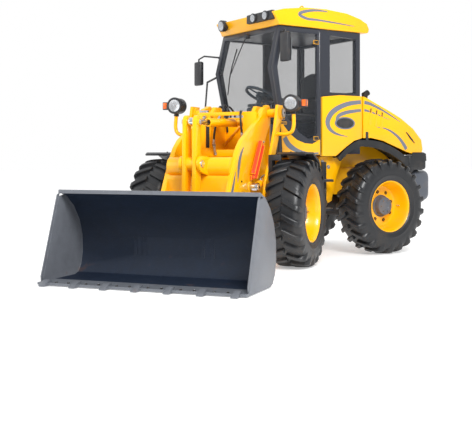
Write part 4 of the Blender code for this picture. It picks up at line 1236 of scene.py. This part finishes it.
class LOADER_OT_hoses(bpy.types.Operator):
    """Hydraulic hoses with crimped steel ends on the arms, the tower and the cylinders"""

    bl_idname = "loader.hoses"
    bl_label = "Hoses"

    def execute(self, context):
        radius = context.scene.loader_sizes.hose / 2

        def hose(shape, *points):
            shape.of("rubber").tube(points, radius, 12)
            for end, near in ((points[0], points[1]), (points[-1], points[-2])):
                end, near = Vector(end), Vector(near)
                along = (near - end).normalized()
                shape.of("steel").rod(end, end + along * 0.045, radius * 1.35, radius * 1.25, 16, 0.002)
                shape.of("steel").rod(
                    end - along * 0.012, end + along * 0.012, radius * 1.5, sides=6, edge=0.002,
                )

        boom = Shape(FRONT)
        hose(
            boom, (-0.075, -1.135, 1.50), (-0.085, -1.20, 1.43), (-0.10, -1.21, 1.33),
            (-0.115, -1.19, 1.235),
        )
        boom.of("steel").rod((-0.115, -1.185, 1.222), (-0.118, -1.175, 1.20), 0.020, 0.016, 20, 0.003)
        hose(boom, (-0.118, -1.165, 1.20), (-0.12, -1.150, 1.165), (-0.12, -1.132, 1.130))
        hose(
            boom, (0.150, -1.10, 1.556), (0.168, -1.165, 1.54), (0.178, -1.185, 1.44),
            (0.182, -1.155, 1.30),
        )
        boom.of("steel").rod((-0.300, -1.115, 1.562), (-0.205, -1.115, 1.562), 0.014, sides=16, edge=0.002)
        boom.of("steel").rod((0.085, -1.115, 1.562), (0.150, -1.115, 1.562), 0.012, sides=16, edge=0.002)
        boom.of("steel").rod((-0.235, -1.128, 1.505), (-0.235, -1.165, 1.495), 0.022, 0.020, 6, 0.003)
        boom.of("rubber").box((-0.225, -0.188), (-1.137, -1.126), (1.19, 1.48), 0.004)
        boom.piece("boom_hoses", "boom", "rubber")

        tower = Shape(FRONT)
        for x, rise in ((-0.27, 0.10), (-0.22, 0.125), (-0.17, 0.09)):
            tower.of("rubber").tube(
                [(x - 0.01, -0.645, 1.36), (x - 0.012, -0.66, 1.50), (x, -0.640, 1.58 + rise * 0.6),
                 (x + 0.05, -0.590, 1.56), (x + 0.055, -0.600, 1.44)], radius, 12
            )
        tower.piece("tower_hoses", "front_frame", "rubber")

        for side, sign in SIDES:
            line = Shape(FRONT)
            x = sign * 0.395
            line.of("steel").rod((x, -0.62, 0.965), (x, -0.62, 0.995), 0.016, sides=14, edge=0.002)
            line.of("steel").rod((x, -1.20, 0.845), (x, -1.20, 0.878), 0.016, sides=14, edge=0.002)
            line.of("steel").tube(
                [(x, -1.20, 0.880), (x, -1.15, 0.900), (x, -0.95, 0.935), (x, -0.66, 0.985)], 0.007, 10,
            )
            line.piece(f"lift_pipe_{side}", f"lift_barrel_{side}", "chrome")
        return {"FINISHED"}


class LOADER_OT_chassis(bpy.types.Operator):
    """Bolts, tread plates, mud flaps, arch linings and the counterweight of the two frames"""

    bl_idname = "loader.chassis"
    bl_label = "Frame fittings"

    def execute(self, context):
        front = Shape(FRONT)
        for side, sign in SIDES:
            low, high = local_box(f"fender_{side}", FRONT)
            x = (low.x + high.x) / 2
            for y in (-1.10, -0.90, -0.72):
                front.of("iron").bolt((x, y, high.z - 0.001), (0, 0, 1), 0.016)
            flap = span(sign, 0.53, 0.86)
            front.of("rubber").box(
                flap, (high.y - 0.020, high.y - 0.008), (low.z - 0.10, low.z + 0.03), 0.004,
            )
        front.piece("fender_fittings", "front_frame", "plastic")

        rear = Shape(REAR)
        for z in (0.525, 0.845):
            for i in range(5):
                y = 0.355 + i * 0.032
                rear.of("steel").box((0.515, 0.655), (y, y + 0.008), (z, z + 0.004), 0.001)
        for x, y, z in ((0.501, 0.46, 1.04), (0.501, 0.55, 0.985), (0.501, 0.30, 0.93)):
            rear.of("steel").bolt((x, y, z), (1, 0, 0), 0.030)
        low, high = local_box("counterweight", REAR)
        for _, sign in SIDES:
            for z in (0.86, 0.66):
                rear.of("iron").bolt((sign * 0.42, high.y, z), (0, 1, 0), 0.032)
        rear.of("steel").rod(
            (0, high.y - 0.01, 0.62), (0, high.y + 0.028, 0.62), 0.030, sides=20, edge=0.004,
        )
        rear.piece("frame_fittings", "rear_frame", "iron")

        ballast = Shape(REAR).of("grey_paint")
        ballast.box((low.x, high.x), (low.y, high.y), (low.z, high.z), 0.10, segments=6)
        ballast.piece("counterweight_casting", "rear_frame", "grey_paint", 50, ("counterweight",))
        arch = (
            (0.610, 1.090), (0.720, 1.185), (0.850, 1.262), (0.950, 1.287), (1.090, 1.290), (1.270, 1.266),
                (1.450, 1.205), (1.620, 1.120), (1.740, 1.020), (1.800, 0.950))
        path = smooth_path([Vector(p) for p in arch], 4)
        band = []
        for i, here in enumerate(path):
            ahead = (path[min(i + 1, len(path) - 1)] - path[max(i - 1, 0)]).normalized()
            band.append((here, here + Vector((ahead.y, -ahead.x)) * (0.055 + 0.03 * min(1, i / 20))))
        outline = [tuple(a) for a, b in band] + [tuple(b) for a, b in reversed(band)]
        for side, sign in SIDES:
            lining = Shape(REAR).of("rubber")
            lining.plate(outline, 0.030, Matrix.Translation((sign * 0.572, 0, 0)) @ facing(sign), 0.003)
            roof = [tuple(a) for a, b in band] + [tuple(a + (b - a) * 0.12) for a, b in reversed(band)]
            lining.plate(roof, 0.27, Matrix.Translation((sign * 0.310, 0, 0)) @ facing(sign))
            lining.box(span(sign, 0.50, 0.612), (1.70, 1.985), (0.945, 1.118), 0.035, segments=4)
            apron = [
                (1.735, 1.10), (1.755, 1.150), (1.93, 1.152), (1.975, 1.135), (1.985, 1.05), (1.80, 1.02),
            ]
            lining.plate(apron, 0.010, Matrix.Translation((sign * 0.6015, 0, 0)) @ facing(sign), 0.002)
            wall = [(0.63, 0.98), *[tuple(a + Vector((0, -0.02))) for a, b in band[2:-4]], (1.70, 0.98)]
            lining.of("yellow_paint").plate(
                wall, 0.008, Matrix.Translation((sign * 0.300, 0, 0)) @ facing(sign),
            )
            lining.piece(f"arch_lining_{side}", "rear_frame", "plastic", 40)
        return {"FINISHED"}


# ---------------------------------------------------------------- stage


class LOADER_OT_stage(bpy.types.Operator):
    """The pale floor, the soft lights and the camera"""

    bl_idname = "loader.stage"
    bl_label = "Stage"

    def execute(self, context):
        scene = context.scene
        floor = bmesh.new()
        bmesh.ops.create_grid(floor, x_segments=1, y_segments=1, size=60)
        mesh = bpy.data.meshes.new("floor")
        floor.to_mesh(mesh)
        floor.free()
        mesh.materials.append(pale_floor())
        ground = bpy.data.objects.new("floor", mesh)
        ground.location = (0, 0, CAD_BOX[0][2] - 0.001)
        scene.collection.objects.link(ground)

        world = bpy.data.worlds.new("studio")
        world.use_nodes = True
        # bright behind the machine and dimmer behind the camera
        tree = world.node_tree
        backdrop = tree.nodes["Background"]
        backdrop.inputs[0].default_value = (1.0, 1.0, 1.0, 1.0)
        towards = tree.nodes.new("ShaderNodeVectorMath")
        towards.operation = "DOT_PRODUCT"
        towards.inputs[1].default_value = (-0.837, 0.547, 0.25)
        fade = tree.nodes.new("ShaderNodeMapRange")
        for index, value in ((1, -0.6), (2, 0.75), (3, 0.55), (4, 1.0)):
            fade.inputs[index].default_value = value
        tree.links.new(tree.nodes.new("ShaderNodeTexCoord").outputs["Generated"], towards.inputs[0])
        tree.links.new(towards.outputs["Value"], fade.inputs[0])
        tree.links.new(fade.outputs[0], backdrop.inputs[1])
        scene.world = world
        for name, at, aim, size, power in (
            ("key", (6.8, -2.6, 6.2), (0.0, 0.0, 1.0), 3.0, 900.0),
            ("fill", (-2.5, -9.0, 4.5), (-0.5, -1.0, 0.8), 6.0, 180.0),
            ("rim", (-4.0, 6.5, 6.0), (0.0, 0.5, 1.2), 4.0, 120.0),
        ):
            lamp = bpy.data.lights.new(name, "AREA")
            lamp.size, lamp.energy = size, power
            holder = bpy.data.objects.new(name, lamp)
            holder.location = at
            holder.rotation_euler = (Vector(aim) - Vector(at)).to_track_quat("-Z", "Y").to_euler()
            scene.collection.objects.link(holder)

        camera = bpy.data.objects.new("camera", bpy.data.cameras.new("camera"))
        camera.data.sensor_width = 36.0
        camera.data.lens = 66.51
        camera.data.shift_y = -0.1146
        camera.location = (7.3407, -5.2281, 1.0905)
        camera.rotation_euler = (math.radians(90), 0, math.radians(56.8054))
        scene.collection.objects.link(camera)
        scene.camera = camera
        scene.view_settings.view_transform = "Standard"
        return {"FINISHED"}


OPERATORS = (
    LOADER_OT_finishes,
    LOADER_OT_tyres,
    LOADER_OT_rims,
    LOADER_OT_stripes,
    LOADER_OT_panels,
    LOADER_OT_cab_inside,
    LOADER_OT_cab_outside,
    LOADER_OT_headlights,
    LOADER_OT_bucket,
    LOADER_OT_arms,
    LOADER_OT_hoses,
    LOADER_OT_chassis,
    LOADER_OT_stage,
)


class LOADER_PT_sidebar(bpy.types.Panel):
    """The loader's sizes, colours and pieces"""

    bl_label = "Wheel loader"
    bl_idname = "LOADER_PT_sidebar"
    bl_space_type = "VIEW_3D"
    bl_region_type = "UI"
    bl_category = "Loader"

    def draw(self, context):
        for group in (context.scene.loader_colours, context.scene.loader_sizes):
            column = self.layout.column()
            for name in group.__annotations__:
                column.prop(group, name)
        for operator in OPERATORS:
            self.layout.operator(operator.bl_idname)


CLASSES = (LoaderColours, LoaderSizes, *OPERATORS, LOADER_PT_sidebar)


def register():
    for made in CLASSES:
        bpy.utils.register_class(made)
    bpy.types.Scene.loader_colours = bpy.props.PointerProperty(type=LoaderColours)
    bpy.types.Scene.loader_sizes = bpy.props.PointerProperty(type=LoaderSizes)


def unregister():
    del bpy.types.Scene.loader_colours
    del bpy.types.Scene.loader_sizes
    for made in reversed(CLASSES):
        bpy.utils.unregister_class(made)


def main():
    register()
    for operator in OPERATORS:
        getattr(bpy.ops.loader, operator.bl_idname.split(".")[1])()


if __name__ == "__main__":
    main()
